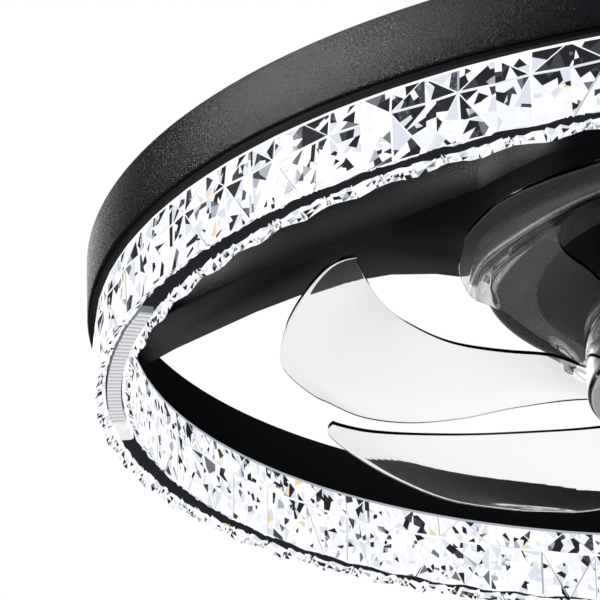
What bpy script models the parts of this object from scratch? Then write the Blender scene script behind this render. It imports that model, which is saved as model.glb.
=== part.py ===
"""Crystal ceiling fan, modelled as the separate pieces that it comes apart into.

The frame is in metres, +Z up. The origin is the centre of the ceiling bracket's top face, where the fan
meets the ceiling, so every piece hangs below it. The fan wheel turns about the Z axis.
"""

import math

import bmesh
import bpy
from mathutils import Matrix, Vector

MM = 0.001

# Fits and sheet thicknesses that many pieces share
GAP = 0.3 * MM
OVERRUN = 4 * MM
WELD = 0.005 * MM
SHEET = 1.2 * MM

# Ring of light: black housing
RING_RADIUS = 250 * MM
RING_HEIGHT = 50 * MM
RING_RISE = 2.5 * MM
BAND_HEIGHT = 22.3 * MM
BAND_BEVEL = 0.8 * MM
RING_WIDTH = 9.8 * MM
BASE_INSET = 0.9 * MM
BASE_THICKNESS = 1.5 * MM
POST_RADIUS = 3 * MM
POST_SPIGOT_RADIUS = 1.6 * MM
POST_HEAD_RADIUS = 3 * MM
POST_HEAD_HEIGHT = 1 * MM
POST_COUNT = 6
POST_FIRST_AZIMUTH = 20.0

# Crystal rings and what lies in the channel between them
OUTER_CRYSTAL_INSET = 1.8 * MM
OUTER_CRYSTAL_THICKNESS = 4.4 * MM
CHANNEL_WIDTH = 5.8 * MM
INNER_CRYSTAL_THICKNESS = 3.7 * MM
INNER_LIP_WIDTH = 2.6 * MM
INNER_LIP_THICKNESS = 1.3 * MM
CRYSTAL_MODULES = 48
CRYSTAL_RELIEF = 1.1 * MM
CRYSTAL_SCALLOP = 0.9 * MM
STAR_ROW_SHARE = 0.64
LED_BOARD_THICKNESS = 1 * MM
LED_BOARD_MARGIN = 0.5 * MM
LED_LENGTH = 3.5 * MM
LED_WIDTH = 2.8 * MM
LED_HEIGHT = 0.8 * MM
LED_COUNT = 18
STRIP_THICKNESS = 3.2 * MM
STRIP_RECESS = 1 * MM
STRIP_RIB_DEPTH = 0.7 * MM
STRIP_RIBS = 12
STRIP_ARC = 24.5
STRIP_FIRST_AZIMUTH = 183.2
BLOCK_ARC = 3.8
BLOCK_HEIGHT = 6 * MM
BLOCK_BEVEL = 0.8 * MM

# Canopy, ceiling bracket and what the canopy hides
CANOPY_OVERHANG = 0.3 * MM
CANOPY_DEPTH = 60 * MM
CANOPY_DRAFT = 2 * MM
CANOPY_CORNER = 3 * MM
CANOPY_SHADOW_GAP = 1 * MM
CANOPY_LEAD_HOLE_RADIUS = 9 * MM
BRACKET_SHEET = 2 * MM
BRACKET_RIM_HEIGHT = 14 * MM
BRACKET_SCREW_DEPTH = 9 * MM
BRACKET_KEYHOLE_RADIUS = 2.6 * MM
BRACKET_KEYHOLE_SPACING = 84 * MM
BRACKET_CABLE_HOLE_RADIUS = 12 * MM
BRACKET_CABLE_HOLE_OFFSET = 52 * MM
DRIVER_SIZE = (110 * MM, 40 * MM, 28 * MM)
RECEIVER_SIZE = (96 * MM, 40 * MM, 22 * MM)
TERMINAL_SIZE = (16 * MM, 30 * MM, 16 * MM)
TERMINAL_MARGIN = 32 * MM
BOX_MARGIN = 8 * MM
BOX_EDGE = 3 * MM
TERMINAL_EDGE = 1 * MM

# Folded arms
ARM_COUNT = 3
ARM_DEPTH = 15 * MM
ARM_FALL = 14.5 * MM
ARM_FOOT_RISE = 2 * MM
ARM_FOLD_OFFSET = 105 * MM
ARM_SHOULDER = 21.9 * MM
ARM_HEEL_AZIMUTH = 243.0
ARM_HEEL_ARC = 3.0
ARM_HEEL_CORNER = 6 * MM
ARM_SCREW_HEIGHT = 9.5 * MM
ARM_SCREW_AZIMUTHS = (195.0, 235.0)
ARM_FOOT_STEPS = 8
ARM_HEEL_STEPS = 3
ARM_END_STEPS = 3

# Screws and bolts
SCREW_RADIUS = 1.3 * MM
SCREW_HEAD_RADIUS = 2.7 * MM
SCREW_HEAD_HEIGHT = 1.8 * MM
SCREW_LENGTH = 7 * MM
SCREW_CLEARANCE = 0.4 * MM
HEAD_CROWN_SHARE = 0.7
SIDE_SCREW_COUNT = 3
SIDE_SCREW_FIRST_AZIMUTH = 20.0
BOLT_RADIUS = 2 * MM
BOLT_HEAD_RADIUS = 4 * MM
BOLT_HEAD_HEIGHT = 2.8 * MM
BOLT_MARGIN = 8 * MM
BOLT_COUNT = 3
BOLT_FIRST_AZIMUTH = 90.0

# Motor
COVER_SHOULDER = 22.2 * MM
COVER_RIM_HEIGHT = 4 * MM
COVER_HEIGHT = 11.7 * MM
COVER_OPENING = 13.8 * MM
COVER_LIP = 3.5 * MM
COVER_SHEET = 1.6 * MM
PLATE_SHEET = 1.5 * MM
PLATE_RIM_HEIGHT = 3.6 * MM
BASE_FLANGE_INSET = 28.2 * MM
BASE_FLANGE_THICKNESS = 4 * MM
TUBE_RADIUS = 15 * MM
TUBE_SHOULDER = 2.5 * MM
TUBE_CLEARANCE = 1.6 * MM
TUBE_LIP = 2 * MM
BEARING_RADIUS = 11 * MM
BEARING_WIDTH = 7 * MM
SHAFT_RADIUS = 4 * MM
COLLAR_RADIUS = 7 * MM
COLLAR_HEIGHT = 1.6 * MM
ROTOR_HEIGHT = 24 * MM
ROTOR_HEADROOM = 5.6 * MM
ROTOR_SHEET = 2 * MM
ROTOR_BOSS_RADIUS = 9 * MM
DRIVE_PIN_RADIUS = 2.2 * MM
DRIVE_PIN_CIRCLE_RADIUS = 45 * MM
DRIVE_PIN_COUNT = 3
MAGNET_THICKNESS = 3.9 * MM
MAGNET_HEIGHT = 17 * MM
AIR_GAP = 0.7 * MM
STATOR_HEIGHT = 11 * MM
STATOR_CLEARANCE = 5 * MM
STATOR_YOKE_RADIUS = 26 * MM
STATOR_TEETH = 12
STATOR_SLOT_SHARE = 0.5
STATOR_SHOE = 3 * MM
STATOR_SHOE_SHARE = 0.86
WINDING_RISE = 2 * MM
LINK_WIDTH = 4 * MM
NUT_RADIUS = 7.5 * MM
NUT_HEIGHT = 5 * MM

# Clear hub, blades and silver cap
HUB_RADIUS = 72.6 * MM
HUB_WALL = 1.8 * MM
HUB_FLOOR = 3.5 * MM
HUB_SKIRT = 6.2 * MM
HUB_LEDGE_HEIGHT = 1.2 * MM
ROOT_THICKNESS = 2.4 * MM
ROOT_HEIGHT = 22 * MM
CLAMP_HEIGHT = 3 * MM
CLAMP_CORNER = 2.2 * MM
BLADE_COUNT = 7
BLADE_TIP_RADIUS = 184 * MM
BLADE_THICKNESS = 2.6 * MM
BLADE_CORNER = 12 * MM
CAP_INSET = 1.3 * MM
CAP_RIM_HEIGHT = 2.4 * MM
CAP_DOME = 2.4 * MM
CAP_DOME_MID_SHARE = 0.25
CAP_CORNER = 2 * MM
CAP_SHEET = 1.2 * MM
CAP_COLLAR_HEIGHT = 5 * MM

# Facets round a full turn
RING_SEGMENTS = 48
BODY_SEGMENTS = 32
SMALL_SEGMENTS = 16
COVER_CURVE_STEPS = 3
SCREW_SIDES = 6
NUT_SIDES = 6

# Heights that follow from the sizes above
FLOOR_Z = -CANOPY_DEPTH
RING_TOP_Z = FLOOR_Z + RING_RISE
RING_BOTTOM_Z = RING_TOP_Z - RING_HEIGHT
BAND_BOTTOM_Z = RING_TOP_Z - BAND_HEIGHT
WALL_BOTTOM_Z = BAND_BOTTOM_Z + INNER_LIP_THICKNESS + GAP
BASE_TOP_Z = BAND_BOTTOM_Z - GAP
BASE_BOTTOM_Z = BASE_TOP_Z - BASE_THICKNESS
BOARD_TOP_Z = BASE_BOTTOM_Z - GAP
BOARD_BOTTOM_Z = BOARD_TOP_Z - LED_BOARD_THICKNESS
ARM_FOOT_Z = FLOOR_Z + ARM_FOOT_RISE
ARM_SCREW_Z = FLOOR_Z + ARM_SCREW_HEIGHT
PLATE_TOP_Z = FLOOR_Z - GAP
PLATE_BOTTOM_Z = PLATE_TOP_Z - PLATE_SHEET
FLANGE_TOP_Z = PLATE_BOTTOM_Z - GAP
FLANGE_BOTTOM_Z = FLANGE_TOP_Z - BASE_FLANGE_THICKNESS
ROTOR_TOP_Z = FLANGE_BOTTOM_Z - ROTOR_HEADROOM
ROTOR_BOTTOM_Z = ROTOR_TOP_Z - ROTOR_HEIGHT
TUBE_BOTTOM_Z = ROTOR_BOTTOM_Z + ROTOR_SHEET + TUBE_CLEARANCE
STATOR_BOTTOM_Z = ROTOR_BOTTOM_Z + ROTOR_SHEET + STATOR_CLEARANCE
STATOR_TOP_Z = STATOR_BOTTOM_Z + STATOR_HEIGHT
HUB_FLOOR_TOP_Z = ROTOR_BOTTOM_Z - GAP
HUB_FLOOR_BOTTOM_Z = HUB_FLOOR_TOP_Z - HUB_FLOOR
HUB_BOTTOM_Z = HUB_FLOOR_BOTTOM_Z - HUB_SKIRT
ROOT_BOTTOM_Z = HUB_BOTTOM_Z + HUB_LEDGE_HEIGHT + GAP
ROOT_TOP_Z = ROOT_BOTTOM_Z + ROOT_HEIGHT
CLAMP_BOTTOM_Z = ROOT_TOP_Z + GAP
CAP_TOP_Z = HUB_BOTTOM_Z - GAP
CAP_BOTTOM_Z = CAP_TOP_Z - CAP_RIM_HEIGHT - CAP_DOME

# Radii that follow from the sizes above
WALL_RADIUS = RING_RADIUS - RING_WIDTH
POST_PITCH_RADIUS = RING_RADIUS - RING_WIDTH / 2
OUTER_CRYSTAL_RADIUS = RING_RADIUS - OUTER_CRYSTAL_INSET
INNER_CRYSTAL_RADIUS = OUTER_CRYSTAL_RADIUS - OUTER_CRYSTAL_THICKNESS - CHANNEL_WIDTH
ROTOR_RADIUS = HUB_RADIUS - HUB_WALL - 2 * GAP
BASE_FLANGE_RADIUS = ROTOR_RADIUS - BASE_FLANGE_INSET
BOLT_CIRCLE_RADIUS = BASE_FLANGE_RADIUS - BOLT_MARGIN
COVER_BOTTOM_RADIUS = ROTOR_RADIUS + COVER_OPENING + COVER_LIP
COVER_RADIUS = COVER_BOTTOM_RADIUS + COVER_SHOULDER
CANOPY_RADIUS = COVER_RADIUS + CANOPY_OVERHANG
STATOR_RADIUS = ROTOR_RADIUS - ROTOR_SHEET - GAP - MAGNET_THICKNESS - AIR_GAP
ROOT_INNER_RADIUS = HUB_RADIUS + GAP
ROOT_OUTER_RADIUS = ROOT_INNER_RADIUS + ROOT_THICKNESS
CAP_RADIUS = ROOT_OUTER_RADIUS - CAP_INSET
ARM_INNER_RADIUS = CANOPY_RADIUS + 2 * GAP
ARM_SHOULDER_RADIUS = ARM_INNER_RADIUS + ARM_SHOULDER
ARM_OUTER_RADIUS = WALL_RADIUS - 2 * GAP
BRACKET_RADIUS = CANOPY_RADIUS - CANOPY_DRAFT - SHEET - GAP

# Outline of the first arm at equal steps outward, azimuths in degrees: one edge from the canopy to the ring,
# the other from the shoulder of the foot to the ring.
ARM_FAR_AZIMUTHS = (183.0, 188.1, 189.8, 188.9, 186.7, 183.8, 180.7, 178.1, 175.3)
ARM_NEAR_AZIMUTHS = (219.5, 208.9, 202.1, 197.6, 193.9, 190.2, 185.9, 182.3)

# Blade outline at equal steps from hub to tip: azimuths of the leading and trailing edges in degrees from
# the root's middle, and their heights as shares of the root plate's height.
BLADE_LEAD_AZIMUTHS = (21.0, 19.0, 27.5, 39.5, 51.5, 61.0, 68.0, 78.0)
BLADE_TRAIL_AZIMUTHS = (-24.0, -26.0, -2.0, 15.5, 24.0, 29.0, 34.5, 45.0)
BLADE_LEAD_HEIGHT_SHARES = (0.80, 1.10, 1.18, 1.01, 0.77, 0.58, 0.56, 0.78)
BLADE_TRAIL_HEIGHT_SHARES = (0.68, 1.02, 1.07, 0.57, 0.23, 0.19, 0.37, 0.43)
BLADE_FIRST_AZIMUTH = 145.0
CORNER_POWER = 8
BLADE_STEPS = 10
BLADE_CHORD_STEPS = 5


UP = Vector((0, 0, 1))

# Materials: colour, roughness, metallic, transmission
FINISHES = {
    "black_coat": ((0.012, 0.013, 0.015), 0.42, 0.0, 0.0),
    "black_plate": ((0.008, 0.009, 0.010), 0.6, 0.0, 0.0),
    "cover_coat": ((0.03, 0.032, 0.036), 0.38, 0.0, 0.0),
    "crystal": ((0.95, 0.96, 0.97), 0.05, 0.0, 1.0),
    "clear_plastic": ((0.96, 0.97, 0.98), 0.04, 0.0, 1.0),
    "silver": ((0.82, 0.83, 0.85), 0.18, 1.0, 0.0),
    "steel": ((0.55, 0.56, 0.58), 0.35, 1.0, 0.0),
    "aluminium": ((0.7, 0.71, 0.72), 0.4, 1.0, 0.0),
    "magnet": ((0.08, 0.08, 0.09), 0.5, 0.4, 0.0),
    "copper": ((0.6, 0.28, 0.14), 0.4, 1.0, 0.0),
    "white_plastic": ((0.8, 0.8, 0.78), 0.5, 0.0, 0.0),
    "led_board": ((0.75, 0.76, 0.74), 0.5, 0.0, 0.0),
}


def clear_scene():
    """Remove whatever objects the file opened with."""
    for item in list(bpy.data.objects):
        bpy.data.objects.remove(item, do_unlink=True)


def make_materials():
    """One Principled material for each finish."""
    made = {}
    for name, (colour, roughness, metallic, transmission) in FINISHES.items():
        material = bpy.data.materials.new(name)
        material.use_nodes = True
        shader = material.node_tree.nodes["Principled BSDF"]
        shader.inputs["Base Color"].default_value = (*colour, 1.0)
        shader.inputs["Roughness"].default_value = roughness
        shader.inputs["Metallic"].default_value = metallic
        shader.inputs["Transmission Weight"].default_value = transmission
        made[name] = material
    return made


def make_object(name, mesh, material, parent=None, sharp_angle=35.0):
    """Turn a bmesh into a smooth-shaded object and free the bmesh."""
    data = bpy.data.meshes.new(name)
    bmesh.ops.recalc_face_normals(mesh, faces=mesh.faces)
    mesh.to_mesh(data)
    mesh.free()
    data.shade_smooth()
    data.set_sharp_from_angle(angle=math.radians(sharp_angle))
    data.materials.append(material)
    item = bpy.data.objects.new(name, data)
    item.parent = parent
    bpy.context.collection.objects.link(item)
    return item


def make_copies(item, names, step):
    """Place copies of an object, which share its mesh, at equal steps round the Z axis."""
    copies = []
    for index, name in enumerate(names, start=1):
        twin = bpy.data.objects.new(name, item.data)
        twin.parent = item.parent
        twin.rotation_euler.z = item.rotation_euler.z + math.radians(step * index)
        bpy.context.collection.objects.link(twin)
        copies.append(twin)
    return copies


def polar(radius, azimuth, height=0.0):
    """A point from its radius, azimuth in degrees and height."""
    angle = math.radians(azimuth)
    return Vector((radius * math.cos(angle), radius * math.sin(angle), height))


def turn_into(mesh, profile, segments, matrix=None):
    """Spin a closed profile of (radius, height) points about Z into the mesh, then place it by a matrix."""
    before = set(mesh.verts)
    loop = [mesh.verts.new((radius, 0, height)) for radius, height in profile]
    pairs = [(loop[index - 1], loop[index]) for index in range(len(loop))]
    edges = [mesh.edges.new(pair) for pair in pairs if any(vert.co.x > WELD for vert in pair)]
    bmesh.ops.spin(
        mesh,
        geom=loop + edges,
        cent=(0, 0, 0),
        axis=(0, 0, 1),
        dvec=(0, 0, 0),
        angle=math.tau,
        steps=segments,
        use_merge=True,
    )
    fresh = [vert for vert in mesh.verts if vert not in before]
    bmesh.ops.remove_doubles(mesh, verts=fresh, dist=WELD)
    fresh = [vert for vert in mesh.verts if vert not in before]
    if matrix is not None:
        bmesh.ops.transform(mesh, matrix=matrix, verts=fresh)


def turned(name, profile, segments, material, parent=None, sharp_angle=35.0):
    """A round piece from one closed profile."""
    mesh = bmesh.new()
    turn_into(mesh, profile, segments)
    return make_object(name, mesh, material, parent, sharp_angle)


def prism_into(mesh, outline, bottom, top):
    """Extrude a plan outline from one height to another."""
    face = mesh.faces.new([mesh.verts.new((x, y, bottom)) for x, y in outline])
    grown = bmesh.ops.extrude_face_region(mesh, geom=[face])
    verts = [part for part in grown["geom"] if isinstance(part, bmesh.types.BMVert)]
    bmesh.ops.translate(mesh, vec=(0, 0, top - bottom), verts=verts)


def rod_into(mesh, radius, start, direction, length, sides=SCREW_SIDES):
    """A plain cylinder from a start point along a direction."""
    centre = start + direction * length / 2
    matrix = Matrix.Translation(centre) @ direction.to_track_quat("Z", "Y").to_matrix().to_4x4()
    bmesh.ops.create_cone(
        mesh, cap_ends=True, segments=sides, radius1=radius, radius2=radius, depth=length, matrix=matrix
    )


def screw_data(name, length, radius, head_radius, head_height, material):
    """Mesh of a pan-head screw: head seated at the origin, shank along +Z."""
    crown = head_radius * HEAD_CROWN_SHARE
    profile = [
        (0, -head_height),
        (crown, -head_height),
        (head_radius, 0),
        (radius, 0),
        (radius, length),
        (0, length),
    ]
    mesh = bmesh.new()
    turn_into(mesh, profile, SCREW_SIDES)
    bmesh.ops.recalc_face_normals(mesh, faces=mesh.faces)
    data = bpy.data.meshes.new(name)
    mesh.to_mesh(data)
    mesh.free()
    data.shade_smooth()
    data.set_sharp_from_angle(angle=math.radians(35.0))
    data.materials.append(material)
    return data


def small_screw_data(name, material, length=SCREW_LENGTH):
    """The small screw that the sheet-metal pieces share."""
    return screw_data(name, length, SCREW_RADIUS, SCREW_HEAD_RADIUS, SCREW_HEAD_HEIGHT, material)


def put_screw(name, data, seat, direction):
    """Place one screw with its head's underside at the seat and its shank along the direction."""
    screw = bpy.data.objects.new(name, data)
    screw.location = seat
    screw.rotation_euler = direction.to_track_quat("Z", "Y").to_euler()
    bpy.context.collection.objects.link(screw)
    return screw


def boolean(target, tool_mesh, operation):
    """Cut or join a tool, given as a bmesh, with the target and keep the result as the target's mesh."""
    data = bpy.data.meshes.new("tool")
    bmesh.ops.recalc_face_normals(tool_mesh, faces=tool_mesh.faces)
    tool_mesh.to_mesh(data)
    tool_mesh.free()
    tool = bpy.data.objects.new("tool", data)
    bpy.context.collection.objects.link(tool)
    modifier = target.modifiers.new(operation.lower(), "BOOLEAN")
    modifier.operation = operation
    modifier.object = tool
    graph = bpy.context.evaluated_depsgraph_get()
    shaped = bpy.data.meshes.new_from_object(target.evaluated_get(graph))
    target.modifiers.clear()
    shaped.name = target.name
    target.data = shaped
    bpy.data.objects.remove(tool, do_unlink=True)


def arc_points(centre, radius, start, end, steps):
    """Points of a circular fillet in the profile plane, angles in degrees."""
    points = []
    for index in range(steps + 1):
        angle = math.radians(start + (end - start) * index / steps)
        points.append((centre[0] + radius * math.cos(angle), centre[1] + radius * math.sin(angle)))
    return points


def outward(azimuth):
    """Unit vector away from the axis at an azimuth in degrees."""
    angle = math.radians(azimuth)
    return Vector((math.cos(angle), math.sin(angle), 0))


def bore(radius, segments):
    """Corner radius of a faceted bore whose flats lie at the radius."""
    return radius / math.cos(math.pi / segments)


def azimuths(count, first):
    """Equally spaced azimuths in degrees."""
    return [first + 360.0 * index / count for index in range(count)]


# Ring of light


def ring_housing(finish):
    """Black ring: outer band with a small lower bevel, top and a shorter inner wall."""
    outer = RING_RADIUS
    wall_inner = bore(WALL_RADIUS, RING_SEGMENTS)
    wall_outer = bore(WALL_RADIUS + SHEET, RING_SEGMENTS)
    profile = [
        (outer, RING_TOP_Z),
        (outer, BAND_BOTTOM_Z + BAND_BEVEL),
        (outer - BAND_BEVEL, BAND_BOTTOM_Z),
        (outer - SHEET, BAND_BOTTOM_Z),
        (outer - SHEET, RING_TOP_Z - SHEET),
        (wall_outer, RING_TOP_Z - SHEET),
        (wall_outer, WALL_BOTTOM_Z),
        (wall_inner, WALL_BOTTOM_Z),
        (wall_inner, RING_TOP_Z),
    ]
    housing = turned("ring_housing", profile, RING_SEGMENTS, finish["black_coat"])
    holes = bmesh.new()
    for azimuth, height in wall_screw_places():
        rod_into(
            holes,
            SCREW_RADIUS + SCREW_CLEARANCE,
            polar(WALL_RADIUS - OVERRUN / 2, azimuth, height),
            outward(azimuth),
            SHEET + OVERRUN,
        )
    for azimuth in azimuths(POST_COUNT, POST_FIRST_AZIMUTH):
        start = polar(POST_PITCH_RADIUS, azimuth, RING_TOP_Z - SHEET - OVERRUN / 2)
        rod_into(holes, bore(POST_SPIGOT_RADIUS + GAP, SCREW_SIDES), start, UP, SHEET + OVERRUN)
    boolean(housing, holes, "DIFFERENCE")


def ring_base(finish):
    """Plate that closes the ring below. Its riveted spacers carry it from the ring's top."""
    profile = [
        (RING_RADIUS - BASE_INSET, BASE_TOP_Z),
        (RING_RADIUS - BASE_INSET, BASE_BOTTOM_Z),
        (bore(INNER_CRYSTAL_RADIUS + GAP, RING_SEGMENTS), BASE_BOTTOM_Z),
        (bore(INNER_CRYSTAL_RADIUS + GAP, RING_SEGMENTS), BASE_TOP_Z),
    ]
    base = turned("ring_base", profile, RING_SEGMENTS, finish["black_plate"])
    under_top = RING_TOP_Z - SHEET - GAP
    head_bottom = RING_TOP_Z + GAP
    spacer = [
        (0, head_bottom + POST_HEAD_HEIGHT),
        (POST_HEAD_RADIUS, head_bottom + POST_HEAD_HEIGHT / 2),
        (POST_HEAD_RADIUS, head_bottom),
        (POST_SPIGOT_RADIUS, head_bottom),
        (POST_SPIGOT_RADIUS, under_top),
        (POST_RADIUS, under_top),
        (POST_RADIUS, BASE_TOP_Z - BASE_THICKNESS / 2),
        (0, BASE_TOP_Z - BASE_THICKNESS / 2),
    ]
    spacers = bmesh.new()
    for azimuth in azimuths(POST_COUNT, POST_FIRST_AZIMUTH):
        turn_into(spacers, spacer, SCREW_SIDES, Matrix.Translation(polar(POST_PITCH_RADIUS, azimuth)))
    boolean(base, spacers, "UNION")


def crystal_into(mesh, front_radius, relief, back, bottom, top):
    """Faceted clear ring. Each module has one star where eight facets meet, about two thirds up.

    The relief is how far the valleys lie behind the stars, signed by the way the front faces. The back is
    a list of (radius, height) points from the bottom up.
    """
    columns = CRYSTAL_MODULES * 2
    star_height = bottom + (top - bottom) * STAR_ROW_SHARE
    fronts = []
    backs = []
    for column in range(columns):
        azimuth = 360.0 * column / columns
        on_star = column % 2 == 1
        valley = front_radius - relief
        slope = front_radius - relief / 2
        edge = valley if on_star else slope
        fronts.append(
            [
                mesh.verts.new(polar(edge, azimuth, bottom if on_star else bottom + CRYSTAL_SCALLOP)),
                mesh.verts.new(polar(front_radius if on_star else valley, azimuth, star_height)),
                mesh.verts.new(polar(edge, azimuth, top)),
            ]
        )
        backs.append([mesh.verts.new(polar(radius, azimuth, height)) for radius, height in back])
    for column in range(columns):
        here, after = column, (column + 1) % columns
        for row in range(len(back) - 1):
            mesh.faces.new((backs[here][row], backs[here][row + 1], backs[after][row + 1], backs[after][row]))
        mesh.faces.new((fronts[here][0], fronts[after][0], backs[after][0], backs[here][0]))
        mesh.faces.new((fronts[here][-1], fronts[after][-1], backs[after][-1], backs[here][-1]))
    for column in range(1, columns, 2):
        left, right = fronts[column - 1], fronts[(column + 1) % columns]
        middle = fronts[column]
        rim = [left[0], middle[0], right[0], right[1], right[2], middle[2], left[2], left[1]]
        for index in range(len(rim)):
            mesh.faces.new((middle[1], rim[index - 1], rim[index]))


def crystal_rings(finish):
    """Outer ring faces out and hangs under the base plate. Inner ring faces in and hooks over the plate."""
    mesh = bmesh.new()
    top = BASE_BOTTOM_Z - GAP
    inside = OUTER_CRYSTAL_RADIUS - OUTER_CRYSTAL_THICKNESS
    back = [(inside, RING_BOTTOM_Z + CRYSTAL_SCALLOP), (inside, top)]
    crystal_into(mesh, OUTER_CRYSTAL_RADIUS, CRYSTAL_RELIEF, back, RING_BOTTOM_Z, top)
    make_object("crystal_ring_outer", mesh, finish["crystal"], sharp_angle=5.0)

    mesh = bmesh.new()
    top = WALL_BOTTOM_Z - GAP
    lip = INNER_CRYSTAL_RADIUS + INNER_LIP_WIDTH
    back = [
        (INNER_CRYSTAL_RADIUS, RING_BOTTOM_Z + CRYSTAL_SCALLOP),
        (INNER_CRYSTAL_RADIUS, BASE_TOP_Z + GAP),
        (lip, BASE_TOP_Z + GAP),
        (lip, top),
    ]
    front = INNER_CRYSTAL_RADIUS - INNER_CRYSTAL_THICKNESS
    crystal_into(mesh, front, -CRYSTAL_RELIEF, back, RING_BOTTOM_Z, top)
    make_object("crystal_ring_inner", mesh, finish["crystal"], sharp_angle=5.0)


def channel_radii(margin):
    """Inner and outer radius of what lies in the channel between the crystal rings."""
    return INNER_CRYSTAL_RADIUS + margin, OUTER_CRYSTAL_RADIUS - OUTER_CRYSTAL_THICKNESS - margin


def led_strip(finish):
    """Ring-shaped light board under the base plate, with its light chips soldered on."""
    inner, outer = channel_radii(LED_BOARD_MARGIN)
    profile = [
        (outer, BOARD_TOP_Z),
        (outer, BOARD_BOTTOM_Z),
        (bore(inner, RING_SEGMENTS), BOARD_BOTTOM_Z),
        (bore(inner, RING_SEGMENTS), BOARD_TOP_Z),
    ]
    board = turned("led_board", profile, RING_SEGMENTS, finish["led_board"])
    mesh = bmesh.new()
    height = BOARD_BOTTOM_Z
    for azimuth in azimuths(LED_COUNT, 0.0):
        place = Matrix.Translation(polar((inner + outer) / 2, azimuth, height))
        turn = Matrix.Rotation(math.radians(azimuth), 4, "Z")
        size = Matrix.Diagonal((LED_WIDTH, LED_LENGTH, LED_HEIGHT * 2, 1.0))
        bmesh.ops.create_cube(mesh, size=1.0, matrix=place @ turn @ size)
    boolean(board, mesh, "UNION")


def ribbed_strips(finish):
    """Clear strips with fine cross ribs, in the channel's mouth beside each arm's end."""
    inner, outer = channel_radii(GAP)
    low = RING_BOTTOM_Z + STRIP_RECESS
    high = low + STRIP_THICKNESS
    mesh = bmesh.new()
    steps = STRIP_RIBS * 2
    rows = []
    for step in range(steps + 1):
        azimuth = STRIP_FIRST_AZIMUTH + STRIP_ARC * step / steps
        base = low + STRIP_RIB_DEPTH if step % 2 == 0 else low
        corners = ((inner, base), (outer, base), (outer, high), (inner, high))
        rows.append([mesh.verts.new(polar(radius, azimuth, height)) for radius, height in corners])
    for here, after in zip(rows, rows[1:]):
        for side in range(4):
            mesh.faces.new((here[side - 1], here[side], after[side], after[side - 1]))
    mesh.faces.new(rows[0])
    mesh.faces.new(rows[-1])
    strip = make_object("ribbed_strip_1", mesh, finish["clear_plastic"])
    make_copies(strip, ["ribbed_strip_2", "ribbed_strip_3"], 360.0 / ARM_COUNT)


def clear_blocks(finish):
    """Short clear block that closes each ribbed strip's end."""
    inner, outer = channel_radii(GAP)
    start = STRIP_FIRST_AZIMUTH - math.degrees(GAP / inner)
    steps = 3
    outline = [polar(inner, start - BLOCK_ARC * step / steps)[:2] for step in range(steps + 1)]
    outline += [polar(outer, start - BLOCK_ARC * step / steps)[:2] for step in range(steps, -1, -1)]
    mesh = bmesh.new()
    low = RING_BOTTOM_Z + STRIP_RECESS
    prism_into(mesh, outline, low, low + BLOCK_HEIGHT)
    floor_edges = [edge for edge in mesh.edges if all(vert.co.z < low + WELD for vert in edge.verts)]
    bmesh.ops.bevel(mesh, geom=floor_edges, offset=BLOCK_BEVEL, segments=1, affect="EDGES")
    block = make_object("clear_block_1", mesh, finish["clear_plastic"])
    make_copies(block, ["clear_block_2", "clear_block_3"], 360.0 / ARM_COUNT)


# Arms


def arm_edge(azimuth_list, inner):
    """Points along one edge of the first arm, at equal steps from the inner radius to the ring."""
    steps = len(azimuth_list) - 1
    step = (ARM_OUTER_RADIUS - inner) / steps
    return [polar(inner + step * index, azimuth) for index, azimuth in enumerate(azimuth_list)]


def arm_arc(radius, first, last, steps):
    """Points along an arc about the fan's axis, azimuths in degrees."""
    return [polar(radius, first + (last - first) * index / steps) for index in range(steps + 1)]


def arm_outline():
    """Plan of the first arm. Its foot follows the canopy's side and its end the ring's inner wall."""
    points = arm_edge(ARM_FAR_AZIMUTHS, ARM_INNER_RADIUS)
    points += arm_arc(ARM_OUTER_RADIUS, ARM_FAR_AZIMUTHS[-1], ARM_NEAR_AZIMUTHS[-1], ARM_END_STEPS)[1:-1]
    points += reversed(arm_edge(ARM_NEAR_AZIMUTHS, ARM_SHOULDER_RADIUS))
    heel = ARM_HEEL_AZIMUTH - ARM_HEEL_ARC
    points += arm_arc(ARM_SHOULDER_RADIUS, ARM_NEAR_AZIMUTHS[0], heel, ARM_HEEL_STEPS)[1:]
    points.append(polar(ARM_SHOULDER_RADIUS - ARM_HEEL_CORNER, ARM_HEEL_AZIMUTH))
    points += arm_arc(ARM_INNER_RADIUS, ARM_HEEL_AZIMUTH, ARM_FAR_AZIMUTHS[0], ARM_FOOT_STEPS)[:-1]
    return [(point.x, point.y) for point in points]


def arm_drop(x):
    """How far the first arm's underside lies below its foot at a place along the X axis."""
    share = (-x - ARM_FOLD_OFFSET) / (ARM_OUTER_RADIUS - ARM_FOLD_OFFSET)
    return ARM_FALL * max(share, 0.0)


def wall_screw_places():
    """Azimuth and height of the screw that joins each arm's end to the ring's inner wall."""
    height = ARM_FOOT_Z - ARM_FALL + ARM_DEPTH / 2
    first = (ARM_FAR_AZIMUTHS[-1] + ARM_NEAR_AZIMUTHS[-1]) / 2
    return [(azimuth, height) for azimuth in azimuths(ARM_COUNT, first)]


def arm_screw_azimuths():
    """Azimuths of the radial screws that hold every arm's foot to the canopy's side."""
    return [turn + azimuth for turn in azimuths(ARM_COUNT, 0.0) for azimuth in ARM_SCREW_AZIMUTHS]


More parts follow.
